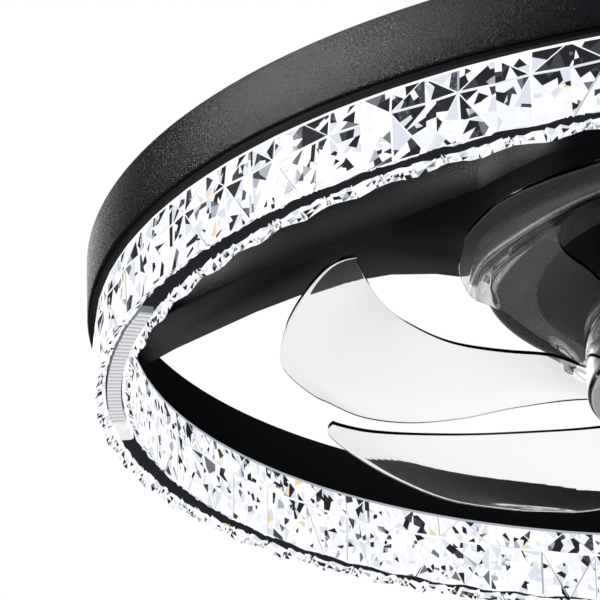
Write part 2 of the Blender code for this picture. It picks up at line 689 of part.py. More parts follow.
def arms(finish):
    """Folded trays, open at the top, that fall from the canopy's side to the ring's inner wall."""
    mesh = bmesh.new()
    prism_into(mesh, arm_outline(), ARM_FOOT_Z, ARM_FOOT_Z + ARM_DEPTH)
    bmesh.ops.recalc_face_normals(mesh, faces=mesh.faces)
    lid = max(mesh.faces, key=lambda face: face.calc_center_median().z)
    bmesh.ops.inset_region(mesh, faces=[lid], thickness=SHEET, use_even_offset=True)
    sunk = bmesh.ops.extrude_face_region(mesh, geom=[lid])
    verts = [part for part in sunk["geom"] if isinstance(part, bmesh.types.BMVert)]
    bmesh.ops.translate(mesh, vec=(0, 0, SHEET - ARM_DEPTH), verts=verts)
    bmesh.ops.delete(mesh, geom=[lid], context="FACES_ONLY")
    everything = list(mesh.verts) + list(mesh.edges) + list(mesh.faces)
    bmesh.ops.bisect_plane(mesh, geom=everything, plane_co=(-ARM_FOLD_OFFSET, 0, 0), plane_no=(1, 0, 0))
    for vert in mesh.verts:
        vert.co.z -= arm_drop(vert.co.x)
    arm = make_object("arm_1", mesh, finish["black_coat"])

    holes = bmesh.new()
    for azimuth in ARM_SCREW_AZIMUTHS:
        start = polar(ARM_INNER_RADIUS - OVERRUN / 2, azimuth, ARM_SCREW_Z)
        rod_into(holes, bore(SCREW_RADIUS + GAP, SCREW_SIDES), start, outward(azimuth), SHEET + OVERRUN)
    azimuth, height = wall_screw_places()[0]
    start = polar(WALL_RADIUS - SHEET * 2 - OVERRUN / 2, azimuth, height)
    rod_into(holes, SCREW_RADIUS + SCREW_CLEARANCE, start, outward(azimuth), SHEET * 2 + OVERRUN)
    boolean(arm, holes, "DIFFERENCE")
    make_copies(arm, [f"arm_{index}" for index in range(2, ARM_COUNT + 1)], 360.0 / ARM_COUNT)


def arm_screws(finish):
    """Screws from inside the canopy into the arms, and from inside the arms into the ring's wall."""
    data = small_screw_data("small_screw", finish["steel"])
    inside = CANOPY_RADIUS * math.cos(math.pi / BODY_SEGMENTS) - SHEET - GAP
    draft = CANOPY_DRAFT * (ARM_SCREW_HEIGHT - CANOPY_CORNER) / CANOPY_DEPTH
    for number, azimuth in enumerate(arm_screw_azimuths(), start=1):
        put_screw(f"arm_screw_{number}", data, polar(inside - draft, azimuth, ARM_SCREW_Z), outward(azimuth))
    for number, (azimuth, height) in enumerate(wall_screw_places(), start=1):
        seat = polar(WALL_RADIUS - GAP * 4 - SHEET, azimuth, height)
        put_screw(f"wall_screw_{number}", data, seat, outward(azimuth))


# Canopy and ceiling bracket


def side_screw_holes(mesh, radius, depth, height, azimuth_list):
    """Radial cutters through a round wall."""
    for azimuth in azimuth_list:
        start = polar(radius - depth - OVERRUN, azimuth, height)
        rod_into(mesh, SCREW_RADIUS + SCREW_CLEARANCE, start, outward(azimuth), depth + OVERRUN * 2)


def canopy(finish):
    """Spun pan with a slight draft, open to the ceiling."""
    top_radius = CANOPY_RADIUS - CANOPY_DRAFT
    corner = (CANOPY_RADIUS - CANOPY_CORNER, FLOOR_Z + CANOPY_CORNER)
    profile = [(top_radius, -CANOPY_SHADOW_GAP)]
    profile += arc_points(corner, CANOPY_CORNER, 0, -90, 3)
    profile += [
        (CANOPY_LEAD_HOLE_RADIUS, FLOOR_Z),
        (CANOPY_LEAD_HOLE_RADIUS, FLOOR_Z + SHEET),
    ]
    profile += arc_points(corner, CANOPY_CORNER - SHEET, -90, 0, 2)
    profile += [(top_radius - SHEET, -CANOPY_SHADOW_GAP)]
    pan = turned("canopy", profile, BODY_SEGMENTS, finish["black_coat"])
    holes = bmesh.new()
    side_screw_holes(
        holes,
        top_radius,
        SHEET,
        -BRACKET_SCREW_DEPTH,
        azimuths(SIDE_SCREW_COUNT, SIDE_SCREW_FIRST_AZIMUTH),
    )
    side_screw_holes(holes, CANOPY_RADIUS, SHEET, ARM_SCREW_Z, arm_screw_azimuths())
    floor_start = FLOOR_Z - OVERRUN / 2
    for azimuth in azimuths(BOLT_COUNT, BOLT_FIRST_AZIMUTH):
        start = polar(BOLT_CIRCLE_RADIUS, azimuth, floor_start)
        rod_into(holes, BOLT_RADIUS + SCREW_CLEARANCE, start, UP, SHEET + OVERRUN)
    boolean(pan, holes, "DIFFERENCE")


def ceiling_bracket(finish):
    """Round plate against the ceiling with a turned-down rim, a cable hole and two screw keyholes."""
    profile = [
        (0, 0),
        (BRACKET_RADIUS, 0),
        (BRACKET_RADIUS, -BRACKET_RIM_HEIGHT),
        (BRACKET_RADIUS - BRACKET_SHEET, -BRACKET_RIM_HEIGHT),
        (BRACKET_RADIUS - BRACKET_SHEET, -BRACKET_SHEET),
        (0, -BRACKET_SHEET),
    ]
    plate = turned("ceiling_bracket", profile, BODY_SEGMENTS, finish["steel"])
    holes = bmesh.new()
    start = -BRACKET_SHEET - OVERRUN / 2
    depth = BRACKET_SHEET + OVERRUN
    for side in (-1, 1):
        place = Vector((0, side * BRACKET_KEYHOLE_SPACING / 2, start))
        rod_into(holes, BRACKET_KEYHOLE_RADIUS, place, UP, depth, SCREW_SIDES * 2)
    rod_into(
        holes,
        BRACKET_CABLE_HOLE_RADIUS,
        Vector((BRACKET_CABLE_HOLE_OFFSET, 0, start)),
        UP,
        depth,
        SCREW_SIDES * 2,
    )
    side_screw_holes(
        holes,
        BRACKET_RADIUS,
        BRACKET_SHEET,
        -BRACKET_SCREW_DEPTH,
        azimuths(SIDE_SCREW_COUNT, SIDE_SCREW_FIRST_AZIMUTH),
    )
    boolean(plate, holes, "DIFFERENCE")

    data = small_screw_data("bracket_screw", finish["black_plate"])
    wall_here = CANOPY_RADIUS - CANOPY_DRAFT + CANOPY_DRAFT * BRACKET_SCREW_DEPTH / CANOPY_DEPTH
    for number, azimuth in enumerate(azimuths(SIDE_SCREW_COUNT, SIDE_SCREW_FIRST_AZIMUTH), start=1):
        seat = polar(wall_here + GAP, azimuth, -BRACKET_SCREW_DEPTH)
        put_screw(f"bracket_screw_{number}", data, seat, -outward(azimuth))


def boxed(name, size, place, edge, material):
    """A moulded box with rounded upright edges and a bevelled lid, standing on the canopy's floor."""
    mesh = bmesh.new()
    matrix = Matrix.Translation(place) @ Matrix.Diagonal((*size, 1.0))
    bmesh.ops.create_cube(mesh, size=1.0, matrix=matrix)
    upright = [edge_ for edge_ in mesh.edges if abs(edge_.verts[0].co.z - edge_.verts[1].co.z) > WELD]
    bmesh.ops.bevel(mesh, geom=upright, offset=edge, segments=2, affect="EDGES")
    lid = max(mesh.faces, key=lambda face: face.calc_center_median().z)
    bmesh.ops.bevel(mesh, geom=list(lid.edges), offset=edge / 2, segments=1, affect="EDGES")
    return make_object(name, mesh, material)


def box_offset(size):
    """How far from the axis a box lies when its outer corners keep their margin from the canopy."""
    reach = CANOPY_RADIUS - BOX_MARGIN
    return math.sqrt(reach**2 - (size[0] / 2) ** 2) - size[1] / 2


def canopy_contents(finish):
    """Driver, fan receiver and supply terminals on the canopy's floor."""
    floor = FLOOR_Z + SHEET + GAP
    for name, size, side, material in (
        ("driver_box", DRIVER_SIZE, 1, finish["white_plastic"]),
        ("receiver_box", RECEIVER_SIZE, -1, finish["black_plate"]),
    ):
        place = (0, side * box_offset(size), floor + size[2] / 2)
        boxed(name, size, place, BOX_EDGE, material)
    place = (TERMINAL_MARGIN - CANOPY_RADIUS, 0, floor + TERMINAL_SIZE[2] / 2)
    boxed("terminal_block", TERMINAL_SIZE, place, TERMINAL_EDGE, finish["white_plastic"])


# Motor


def motor_fixed(finish):
    """Mounting plate, base with its bearing tube, bearings, stator and bolts."""
    plate_radius = COVER_RADIUS - COVER_SHEET - GAP
    bolt_hole = BOLT_RADIUS + SCREW_CLEARANCE
    rim_bottom = PLATE_TOP_Z - PLATE_RIM_HEIGHT
    profile = [
        (plate_radius, PLATE_TOP_Z),
        (plate_radius, rim_bottom),
        (plate_radius - PLATE_SHEET, rim_bottom),
        (plate_radius - PLATE_SHEET, PLATE_BOTTOM_Z),
        (CANOPY_LEAD_HOLE_RADIUS, PLATE_BOTTOM_Z),
        (CANOPY_LEAD_HOLE_RADIUS, PLATE_TOP_Z),
    ]
    plate = turned("motor_plate", profile, BODY_SEGMENTS, finish["black_plate"])
    holes = bmesh.new()
    for azimuth in azimuths(BOLT_COUNT, BOLT_FIRST_AZIMUTH):
        start = polar(BOLT_CIRCLE_RADIUS, azimuth, PLATE_BOTTOM_Z - OVERRUN / 2)
        rod_into(holes, bolt_hole, start, UP, PLATE_SHEET + OVERRUN)
    side_screw_holes(holes, plate_radius, PLATE_SHEET, cover_screw_height(), cover_screw_azimuths())
    boolean(plate, holes, "DIFFERENCE")

    bearing_seat = BEARING_RADIUS + GAP
    lip = bearing_seat - TUBE_LIP
    upper_seat = FLANGE_TOP_Z - COLLAR_HEIGHT - BEARING_WIDTH - GAP * 3
    lower_seat = TUBE_BOTTOM_Z + BEARING_WIDTH + GAP
    shoulder_bottom = STATOR_TOP_Z + GAP
    profile = [
        (BASE_FLANGE_RADIUS, FLANGE_TOP_Z),
        (BASE_FLANGE_RADIUS, FLANGE_BOTTOM_Z),
        (TUBE_RADIUS + TUBE_SHOULDER, FLANGE_BOTTOM_Z),
        (TUBE_RADIUS + TUBE_SHOULDER, shoulder_bottom),
        (TUBE_RADIUS, shoulder_bottom),
        (TUBE_RADIUS, TUBE_BOTTOM_Z),
        (bearing_seat, TUBE_BOTTOM_Z),
        (bearing_seat, lower_seat),
        (lip, lower_seat),
        (lip, upper_seat),
        (bearing_seat, upper_seat),
        (bearing_seat, FLANGE_TOP_Z),
    ]
    base = turned("motor_base", profile, SMALL_SEGMENTS, finish["aluminium"])
    holes = bmesh.new()
    for azimuth in azimuths(BOLT_COUNT, BOLT_FIRST_AZIMUTH):
        start = polar(BOLT_CIRCLE_RADIUS, azimuth, FLANGE_BOTTOM_Z - OVERRUN / 2)
        rod_into(holes, bore(BOLT_RADIUS + GAP, SCREW_SIDES), start, UP, BASE_FLANGE_THICKNESS + OVERRUN)
    boolean(base, holes, "DIFFERENCE")

    for name, bottom in (("bearing_upper", upper_seat + GAP), ("bearing_lower", TUBE_BOTTOM_Z)):
        profile = [
            (BEARING_RADIUS, bottom + BEARING_WIDTH),
            (BEARING_RADIUS, bottom),
            (bore(SHAFT_RADIUS + GAP, SMALL_SEGMENTS), bottom),
            (bore(SHAFT_RADIUS + GAP, SMALL_SEGMENTS), bottom + BEARING_WIDTH),
        ]
        turned(name, profile, SMALL_SEGMENTS, finish["steel"])

    seat = FLOOR_Z + SHEET + GAP
    grip = seat - FLANGE_BOTTOM_Z
    data = screw_data(
        "motor_bolt", grip, BOLT_RADIUS, BOLT_HEAD_RADIUS, BOLT_HEAD_HEIGHT, finish["steel"]
    )
    for number, azimuth in enumerate(azimuths(BOLT_COUNT, BOLT_FIRST_AZIMUTH), start=1):
        put_screw(f"motor_bolt_{number}", data, polar(BOLT_CIRCLE_RADIUS, azimuth, seat), -UP)


def stator_outline():
    """Plan of the stator's steel: a yoke with T-shaped teeth."""
    points = []
    pitch = 360.0 / STATOR_TEETH
    stem = pitch * (1 - STATOR_SLOT_SHARE) / 2
    shoe = pitch / 2 * STATOR_SHOE_SHARE
    shoe_radius = STATOR_RADIUS - STATOR_SHOE
    for tooth in range(STATOR_TEETH):
        centre = pitch * tooth
        for radius, offset in (
            (STATOR_YOKE_RADIUS, -stem),
            (shoe_radius, -stem * STATOR_YOKE_RADIUS / shoe_radius),
            (shoe_radius, -shoe),
            (STATOR_RADIUS, -shoe),
            (STATOR_RADIUS, shoe),
            (shoe_radius, shoe),
            (shoe_radius, stem * STATOR_YOKE_RADIUS / shoe_radius),
            (STATOR_YOKE_RADIUS, stem),
        ):
            points.append(polar(radius, centre + offset)[:2])
    return points


def stator(finish):
    """Laminated core on the bearing tube, and the coils in its slots with the ring that links them."""
    mesh = bmesh.new()
    prism_into(mesh, stator_outline(), STATOR_BOTTOM_Z, STATOR_TOP_Z)
    core = make_object("stator_core", mesh, finish["steel"])
    hole = bmesh.new()
    start = Vector((0, 0, STATOR_BOTTOM_Z - OVERRUN / 2))
    rod_into(hole, bore(TUBE_RADIUS + GAP, SMALL_SEGMENTS), start, UP, STATOR_HEIGHT + OVERRUN, SMALL_SEGMENTS)
    boolean(core, hole, "DIFFERENCE")

    pitch = 360.0 / STATOR_TEETH
    stem = pitch * (1 - STATOR_SLOT_SHARE) / 2
    inner = STATOR_YOKE_RADIUS + GAP * 2
    link_top = STATOR_TOP_Z + WINDING_RISE - GAP
    profile = [
        (inner + LINK_WIDTH, link_top),
        (inner + LINK_WIDTH, STATOR_TOP_Z + GAP),
        (inner + GAP, STATOR_TOP_Z + GAP),
        (inner + GAP, link_top),
    ]
    link = turned("stator_windings", profile, BODY_SEGMENTS, finish["copper"])
    mesh = bmesh.new()
    outer = STATOR_RADIUS - STATOR_SHOE - GAP
    stem_width = STATOR_YOKE_RADIUS * math.radians(stem) + GAP * 2
    for slot in azimuths(STATOR_TEETH, pitch / 2):
        outline = []
        for radius, side in ((inner, -1), (outer, -1), (outer, 1), (inner, 1)):
            half = pitch / 2 - math.degrees(stem_width / radius)
            outline.append(polar(radius, slot + side * half)[:2])
        prism_into(mesh, outline, STATOR_BOTTOM_Z - WINDING_RISE, STATOR_TOP_Z + WINDING_RISE)
    boolean(link, mesh, "UNION")


def cover_screw_height():
    """Height of the radial screws in the cover's straight rim."""
    return PLATE_TOP_Z - (PLATE_SHEET + PLATE_RIM_HEIGHT) / 2


def cover_screw_azimuths():
    """Azimuths of the radial screws in the cover's rim."""
    return azimuths(SIDE_SCREW_COUNT, SIDE_SCREW_FIRST_AZIMUTH)


def motor_cover(finish):
    """Shallow bowl round the motor: straight rim, round side and a narrow turned-in lip."""
    top = PLATE_TOP_Z
    rim_bottom = top - COVER_RIM_HEIGHT
    bottom = top - COVER_HEIGHT
    steps = COVER_CURVE_STEPS
    outer_curve = []
    inner_curve = []
    for step in range(steps + 1):
        angle = math.radians(90.0 * step / steps)
        across = COVER_RADIUS - COVER_BOTTOM_RADIUS
        drop = rim_bottom - bottom
        outer_curve.append(
            (
                COVER_BOTTOM_RADIUS + across * math.cos(angle),
                rim_bottom - drop * math.sin(angle),
            )
        )
        inner_curve.append(
            (
                COVER_BOTTOM_RADIUS + (across - COVER_SHEET) * math.cos(angle),
                rim_bottom - (drop - COVER_SHEET) * math.sin(angle),
            )
        )
    lip = COVER_BOTTOM_RADIUS - COVER_LIP
    profile = [(COVER_RADIUS, top)] + outer_curve
    profile += [(lip, bottom), (lip, bottom + COVER_SHEET)]
    profile += list(reversed(inner_curve))
    profile += [(COVER_RADIUS - COVER_SHEET, top)]
    bowl = turned("motor_cover", profile, BODY_SEGMENTS, finish["cover_coat"])
    holes = bmesh.new()
    side_screw_holes(holes, COVER_RADIUS, COVER_SHEET, cover_screw_height(), cover_screw_azimuths())
    boolean(bowl, holes, "DIFFERENCE")

    data = small_screw_data("cover_screw", finish["black_plate"], SCREW_LENGTH / 2)
    for number, azimuth in enumerate(cover_screw_azimuths(), start=1):
        seat = polar(COVER_RADIUS + GAP, azimuth, cover_screw_height())
        put_screw(f"cover_screw_{number}", data, seat, -outward(azimuth))


# Fan wheel


def rotor(finish, wheel):
    """Steel bell with drive pins for the hub, its magnets, shaft, retaining collar and nut."""
    floor_top = ROTOR_BOTTOM_Z + ROTOR_SHEET
    shaft_hole = bore(SHAFT_RADIUS + GAP, SMALL_SEGMENTS)
    boss_top = TUBE_BOTTOM_Z - GAP
    profile = [
        (ROTOR_RADIUS, ROTOR_TOP_Z),
        (ROTOR_RADIUS, ROTOR_BOTTOM_Z),
        (shaft_hole, ROTOR_BOTTOM_Z),
        (shaft_hole, boss_top),
        (ROTOR_BOSS_RADIUS, boss_top),
        (ROTOR_BOSS_RADIUS, floor_top),
        (ROTOR_RADIUS - ROTOR_SHEET, floor_top),
        (ROTOR_RADIUS - ROTOR_SHEET, ROTOR_TOP_Z),
    ]
    bell = turned("rotor_bell", profile, BODY_SEGMENTS, finish["black_plate"], wheel)
    pins = bmesh.new()
    pin_length = floor_top - ROTOR_SHEET / 2 - HUB_FLOOR_BOTTOM_Z
    for azimuth in azimuths(DRIVE_PIN_COUNT, 0.0):
        start = polar(DRIVE_PIN_CIRCLE_RADIUS, azimuth, HUB_FLOOR_BOTTOM_Z)
        rod_into(pins, DRIVE_PIN_RADIUS, start, UP, pin_length, SCREW_SIDES * 2)
    boolean(bell, pins, "UNION")

    magnet_outer = ROTOR_RADIUS - ROTOR_SHEET - GAP
    magnet_inner = magnet_outer - MAGNET_THICKNESS
    magnet_bottom = floor_top + GAP
    profile = [
        (magnet_outer, magnet_bottom + MAGNET_HEIGHT),
        (magnet_outer, magnet_bottom),
        (magnet_inner, magnet_bottom),
        (magnet_inner, magnet_bottom + MAGNET_HEIGHT),
    ]
    turned("magnet_ring", profile, BODY_SEGMENTS, finish["magnet"], wheel)

    shaft_top = FLANGE_TOP_Z - GAP
    shaft_bottom = HUB_FLOOR_BOTTOM_Z - GAP - NUT_HEIGHT
    mesh = bmesh.new()
    start = Vector((0, 0, shaft_bottom))
    rod_into(mesh, SHAFT_RADIUS, start, UP, shaft_top - shaft_bottom, SMALL_SEGMENTS)
    make_object("shaft", mesh, finish["steel"], wheel)

    profile = [
        (COLLAR_RADIUS, shaft_top),
        (COLLAR_RADIUS, shaft_top - COLLAR_HEIGHT),
        (shaft_hole, shaft_top - COLLAR_HEIGHT),
        (shaft_hole, shaft_top),
    ]
    turned("shaft_collar", profile, SMALL_SEGMENTS, finish["steel"], wheel)

    nut_top = HUB_FLOOR_BOTTOM_Z - GAP
    profile = [
        (NUT_RADIUS, nut_top),
        (NUT_RADIUS, nut_top - NUT_HEIGHT),
        (bore(SHAFT_RADIUS + GAP, NUT_SIDES), nut_top - NUT_HEIGHT),
        (bore(SHAFT_RADIUS + GAP, NUT_SIDES), nut_top),
    ]
    turned("shaft_nut", profile, NUT_SIDES, finish["steel"], wheel)


def hub(finish, wheel):
    """Clear drum round the rotor, with a floor, a skirt and a ledge under the blade roots."""
    inner = HUB_RADIUS - HUB_WALL
    ledge_top = HUB_BOTTOM_Z + HUB_LEDGE_HEIGHT
    wall_top = ROOT_TOP_Z
    shaft_hole = bore(SHAFT_RADIUS + GAP, SMALL_SEGMENTS)
    profile = [
        (ROOT_OUTER_RADIUS, ledge_top),
        (ROOT_OUTER_RADIUS, HUB_BOTTOM_Z),
        (inner, HUB_BOTTOM_Z),
        (inner, HUB_FLOOR_BOTTOM_Z),
        (shaft_hole, HUB_FLOOR_BOTTOM_Z),
        (shaft_hole, HUB_FLOOR_TOP_Z),
        (inner, HUB_FLOOR_TOP_Z),
        (inner, wall_top),
        (HUB_RADIUS, wall_top),
        (HUB_RADIUS, ledge_top),
    ]
    drum = turned("blade_hub", profile, BODY_SEGMENTS, finish["clear_plastic"], wheel)
    holes = bmesh.new()
    for azimuth in azimuths(DRIVE_PIN_COUNT, 0.0):
        start = polar(DRIVE_PIN_CIRCLE_RADIUS, azimuth, HUB_FLOOR_BOTTOM_Z - OVERRUN / 2)
        rod_into(holes, DRIVE_PIN_RADIUS + GAP, start, UP, HUB_FLOOR + OVERRUN, SCREW_SIDES * 2)
    boolean(drum, holes, "DIFFERENCE")

    top = CLAMP_BOTTOM_Z + CLAMP_HEIGHT
    corner = (ROOT_OUTER_RADIUS - CLAMP_CORNER, top - CLAMP_CORNER)
    profile = [(ROOT_OUTER_RADIUS, CLAMP_BOTTOM_Z), (inner, CLAMP_BOTTOM_Z), (inner, top)]
    profile += arc_points(corner, CLAMP_CORNER, 90, 0, 3)
    turned("clamp_ring", profile, BODY_SEGMENTS, finish["clear_plastic"], wheel)

    cap_side = CAP_TOP_Z - CAP_RIM_HEIGHT + CAP_CORNER
    collar_outer = inner - GAP
    collar_top = CAP_TOP_Z + CAP_COLLAR_HEIGHT
    face_radius = CAP_RADIUS - CAP_CORNER
    profile = [(CAP_RADIUS, CAP_TOP_Z)]
    profile += arc_points((face_radius, cap_side), CAP_CORNER, 0, -90, 3)
    profile += [
        (face_radius / 2, CAP_BOTTOM_Z + CAP_DOME * CAP_DOME_MID_SHARE),
        (0, CAP_BOTTOM_Z),
        (0, CAP_BOTTOM_Z + CAP_SHEET),
        (face_radius / 2, CAP_BOTTOM_Z + CAP_DOME * CAP_DOME_MID_SHARE + CAP_SHEET),
        (collar_outer - CAP_SHEET, CAP_TOP_Z - CAP_RIM_HEIGHT + CAP_SHEET),
        (collar_outer - CAP_SHEET, collar_top),
        (collar_outer, collar_top),
        (collar_outer, CAP_TOP_Z),
    ]
    turned("hub_cap", profile, BODY_SEGMENTS, finish["silver"], wheel)


def between(values, share):
    """Read a row of equally spaced values at any share of its length, with a smooth curve through them."""
    last = len(values) - 1
    index = min(int(share * last), last - 1)
    part = share * last - index
    start, end = values[index], values[index + 1]
    before = values[index - 1] if index else start
    after = values[index + 2] if index + 2 <= last else end
    first, second = (end - before) / 2, (after - start) / 2
    square, cube = part * part, part * part * part
    return (
        start * (2 * cube - 3 * square + 1)
        + first * (cube - 2 * square + part)
        + end * (3 * square - 2 * cube)
        + second * (cube - square)
    )


def blade_point(share, chord):
    """A point of the blade's lower surface: share from hub to tip, chord from leading edge to trailing."""
    start = ROOT_OUTER_RADIUS - ROOT_THICKNESS / 2
    radius = start + (BLADE_TIP_RADIUS - start) * share
    lead = between(BLADE_LEAD_AZIMUTHS, share)
    trail = between(BLADE_TRAIL_AZIMUTHS, share)
    foot = ROOT_BOTTOM_Z - BLADE_THICKNESS / 2
    lead_height = foot + ROOT_HEIGHT * between(BLADE_LEAD_HEIGHT_SHARES, share)
    trail_height = foot + ROOT_HEIGHT * between(BLADE_TRAIL_HEIGHT_SHARES, share)
    corner_cut = BLADE_CORNER * abs(2 * chord - 1) ** CORNER_POWER * share ** (2 * CORNER_POWER)
    azimuth = BLADE_FIRST_AZIMUTH + lead + (trail - lead) * chord
    return polar(radius - corner_cut, azimuth, lead_height + (trail_height - lead_height) * chord)


def blades(finish, wheel):
    """Clear swept blades. Each has a curved root plate that fills its seventh of the hub's wall."""
    mesh = bmesh.new()
    chords = [(1 - math.cos(math.pi * part / BLADE_CHORD_STEPS)) / 2 for part in range(BLADE_CHORD_STEPS + 1)]
    rows = []
    for step in range(BLADE_STEPS + 1):
        share = step / BLADE_STEPS
        rows.append([mesh.verts.new(blade_point(share, chord)) for chord in chords])
    for here, after in zip(rows, rows[1:]):
        for part in range(BLADE_CHORD_STEPS):
            mesh.faces.new((here[part], here[part + 1], after[part + 1], after[part]))
    raised = bmesh.ops.extrude_face_region(mesh, geom=mesh.faces[:])
    verts = [part for part in raised["geom"] if isinstance(part, bmesh.types.BMVert)]
    bmesh.ops.translate(mesh, vec=UP * BLADE_THICKNESS, verts=verts)
    blade = make_object("blade_1", mesh, finish["clear_plastic"], wheel)

    seventh = 360.0 / BLADE_COUNT
    margin = math.degrees(GAP / 2 / ROOT_INNER_RADIUS)
    first = BLADE_FIRST_AZIMUTH + BLADE_LEAD_AZIMUTHS[0] + (seventh - span_at_root()) / 2 - margin
    steps = 8
    arc = [first - (seventh - 2 * margin) * step / steps for step in range(steps + 1)]
    outline = [polar(ROOT_INNER_RADIUS, azimuth)[:2] for azimuth in arc]
    outline += [polar(ROOT_OUTER_RADIUS, azimuth)[:2] for azimuth in reversed(arc)]
    root = bmesh.new()
    prism_into(root, outline, ROOT_BOTTOM_Z, ROOT_TOP_Z)
    boolean(blade, root, "UNION")
    make_copies(blade, [f"blade_{index}" for index in range(2, BLADE_COUNT + 1)], seventh)


def span_at_root():
    """Degrees that the blade's own surface covers where it meets the root plate."""
    return BLADE_LEAD_AZIMUTHS[0] - BLADE_TRAIL_AZIMUTHS[0]


def main():
    clear_scene()
    finish = make_materials()
    ring_housing(finish)
    ring_base(finish)
    crystal_rings(finish)
    led_strip(finish)
    ribbed_strips(finish)
    clear_blocks(finish)
    arms(finish)
    arm_screws(finish)
    canopy(finish)
    ceiling_bracket(finish)
    canopy_contents(finish)
    motor_fixed(finish)
    stator(finish)
    motor_cover(finish)
    wheel = bpy.data.objects.new("fan_wheel", None)
    bpy.context.collection.objects.link(wheel)
    rotor(finish, wheel)
    hub(finish, wheel)
    blades(finish, wheel)


main()
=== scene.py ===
"""Crystal ceiling fan with its light ring: looks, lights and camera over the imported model."""

import math
import random

import bmesh
import bpy
from mathutils import Matrix, Vector


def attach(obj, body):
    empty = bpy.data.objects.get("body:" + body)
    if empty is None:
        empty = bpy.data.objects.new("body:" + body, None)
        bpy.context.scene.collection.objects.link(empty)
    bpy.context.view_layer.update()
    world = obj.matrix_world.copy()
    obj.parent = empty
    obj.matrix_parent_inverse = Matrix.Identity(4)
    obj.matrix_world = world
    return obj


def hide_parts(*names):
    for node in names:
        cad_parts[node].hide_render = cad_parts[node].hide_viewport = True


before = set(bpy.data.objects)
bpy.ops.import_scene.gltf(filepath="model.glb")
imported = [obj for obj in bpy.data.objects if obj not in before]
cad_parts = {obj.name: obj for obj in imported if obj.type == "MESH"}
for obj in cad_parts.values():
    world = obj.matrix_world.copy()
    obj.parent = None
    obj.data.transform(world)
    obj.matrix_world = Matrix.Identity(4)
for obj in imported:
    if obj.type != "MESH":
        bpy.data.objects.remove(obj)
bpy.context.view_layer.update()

MM = 0.001
RING_BOTTOM = -107.5
FIXED = "base"
WHEEL = "fan_wheel"
CENTRE = (0.0, 0.0, 0.0)
AXIS = (0.0, 0.0, 1.0)


def up(height):
    """A height over the ring's lower plane, in millimetres, as the frame's height in metres."""
    return (height + RING_BOTTOM) * MM


def put_in_scene(name, data):
    """Link a new object, which sits at the origin."""
    thing = bpy.data.objects.new(name, data)
    bpy.context.collection.objects.link(thing)
    return thing


# Shader maths


class Wire:
    """An output socket that works in sums."""

    def __init__(self, finish, socket):
        self.finish = finish
        self.socket = socket

    def math(self, operation, *others, clamp=False):
        settings = {"operation": operation, "use_clamp": clamp}
        return self.finish.node("ShaderNodeMath", settings, dict(enumerate((self, *others))))

    def __add__(self, other):
        return self.math("ADD", other)

    __radd__ = __add__

    def __mul__(self, other):
        return self.math("MULTIPLY", other)

    __rmul__ = __mul__

    def __sub__(self, other):
        return self.math("SUBTRACT", other)

    def __rsub__(self, other):
        return self.finish.node("ShaderNodeMath", {"operation": "SUBTRACT"}, {0: other, 1: self})


class Finish:
    """A material, or the world, and the nodes that make it."""

    def __init__(self, name, owner=None):
        self.block = owner or bpy.data.materials.new(name)
        self.block.use_nodes = True
        self.tree = self.block.node_tree
        self.shader = self.tree.nodes.get("Principled BSDF")

    def node(self, kind, settings=None, values=None, output=0):
        """Add a node: its settings first, then the values or links of its sockets."""
        made = self.tree.nodes.new(kind)
        for key, value in (settings or {}).items():
            if key == "stops":
                ramp = made.color_ramp
                while len(ramp.elements) < len(value):
                    ramp.elements.new(0.5)
                for element, (place, colour) in zip(ramp.elements, value):
                    element.position = place
                    element.color = colour
            elif key == "interpolation":
                made.color_ramp.interpolation = value
            else:
                setattr(made, key, value)
        for key, value in (values or {}).items():
            self.feed(made.inputs[key], value)
        return Wire(self, made.outputs[output])

    def feed(self, socket, value):
        if isinstance(value, Wire):
            self.tree.links.new(value.socket, socket)
        else:
            socket.default_value = value

    def set(self, **values):
        """Set or link the shader's sockets, with underscores for the spaces in their names."""
        for key, value in values.items():
            self.feed(self.shader.inputs[key.replace("_", " ")], value)

    def place(self, scale=(1.0, 1.0, 1.0)):
        """Object coordinates, scaled."""
        where = self.node("ShaderNodeTexCoord", output="Object")
        return self.node("ShaderNodeMapping", values={"Vector": where, "Scale": scale})

    def noise(self, scale, detail=2.0, roughness=0.5, where=None):
        values = {
            "Vector": where or self.place(),
            "Scale": scale,
            "Detail": detail,
            "Roughness": roughness,
        }
        return self.node("ShaderNodeTexNoise", values=values)

    def mix(self, share, first, second):
        values = {"Factor": share, 6: first, 7: second}
        return self.node("ShaderNodeMix", {"data_type": "RGBA"}, values, output=2)

    def bump(self, height, strength, distance):
        values = {"Height": height, "Strength": strength, "Distance": distance}
        self.set(Normal=self.node("ShaderNodeBump", values=values))

    def glow(self, colour, unlit, share, roughness, strength):
        """Give off a colour, over a dark polished base that takes a little of it."""
        self.set(Base_Color=self.mix(share, colour, unlit), Roughness=roughness)
        self.set(Emission_Color=colour, Emission_Strength=strength)


def tinted(tone, share=1.0):
    """A colour made darker or lighter by a share, with its alpha."""
    return tuple(channel * share for channel in tone) + (1.0,)


def satin_black(name, tone, roughness, grain, gloss=0.36):
    """Powder coat: a fine orange-peel grain, with sheen that wanders a little."""
    coat = Finish(name)
    speck = coat.noise(1500.0, 3.0, 0.6)
    cloud = coat.noise(14.0, 2.0, 0.5)
    share = cloud * 0.5 + speck * 0.5
    coat.set(Base_Color=coat.mix(share, tinted(tone, 0.8), tinted(tone, 1.35)))
    coat.set(Roughness=cloud * 0.1 + speck * 0.12 + (roughness - 0.11))
    coat.bump(speck, grain, 0.0004)
    coat.set(Specular_IOR_Level=gloss)
    return coat.block


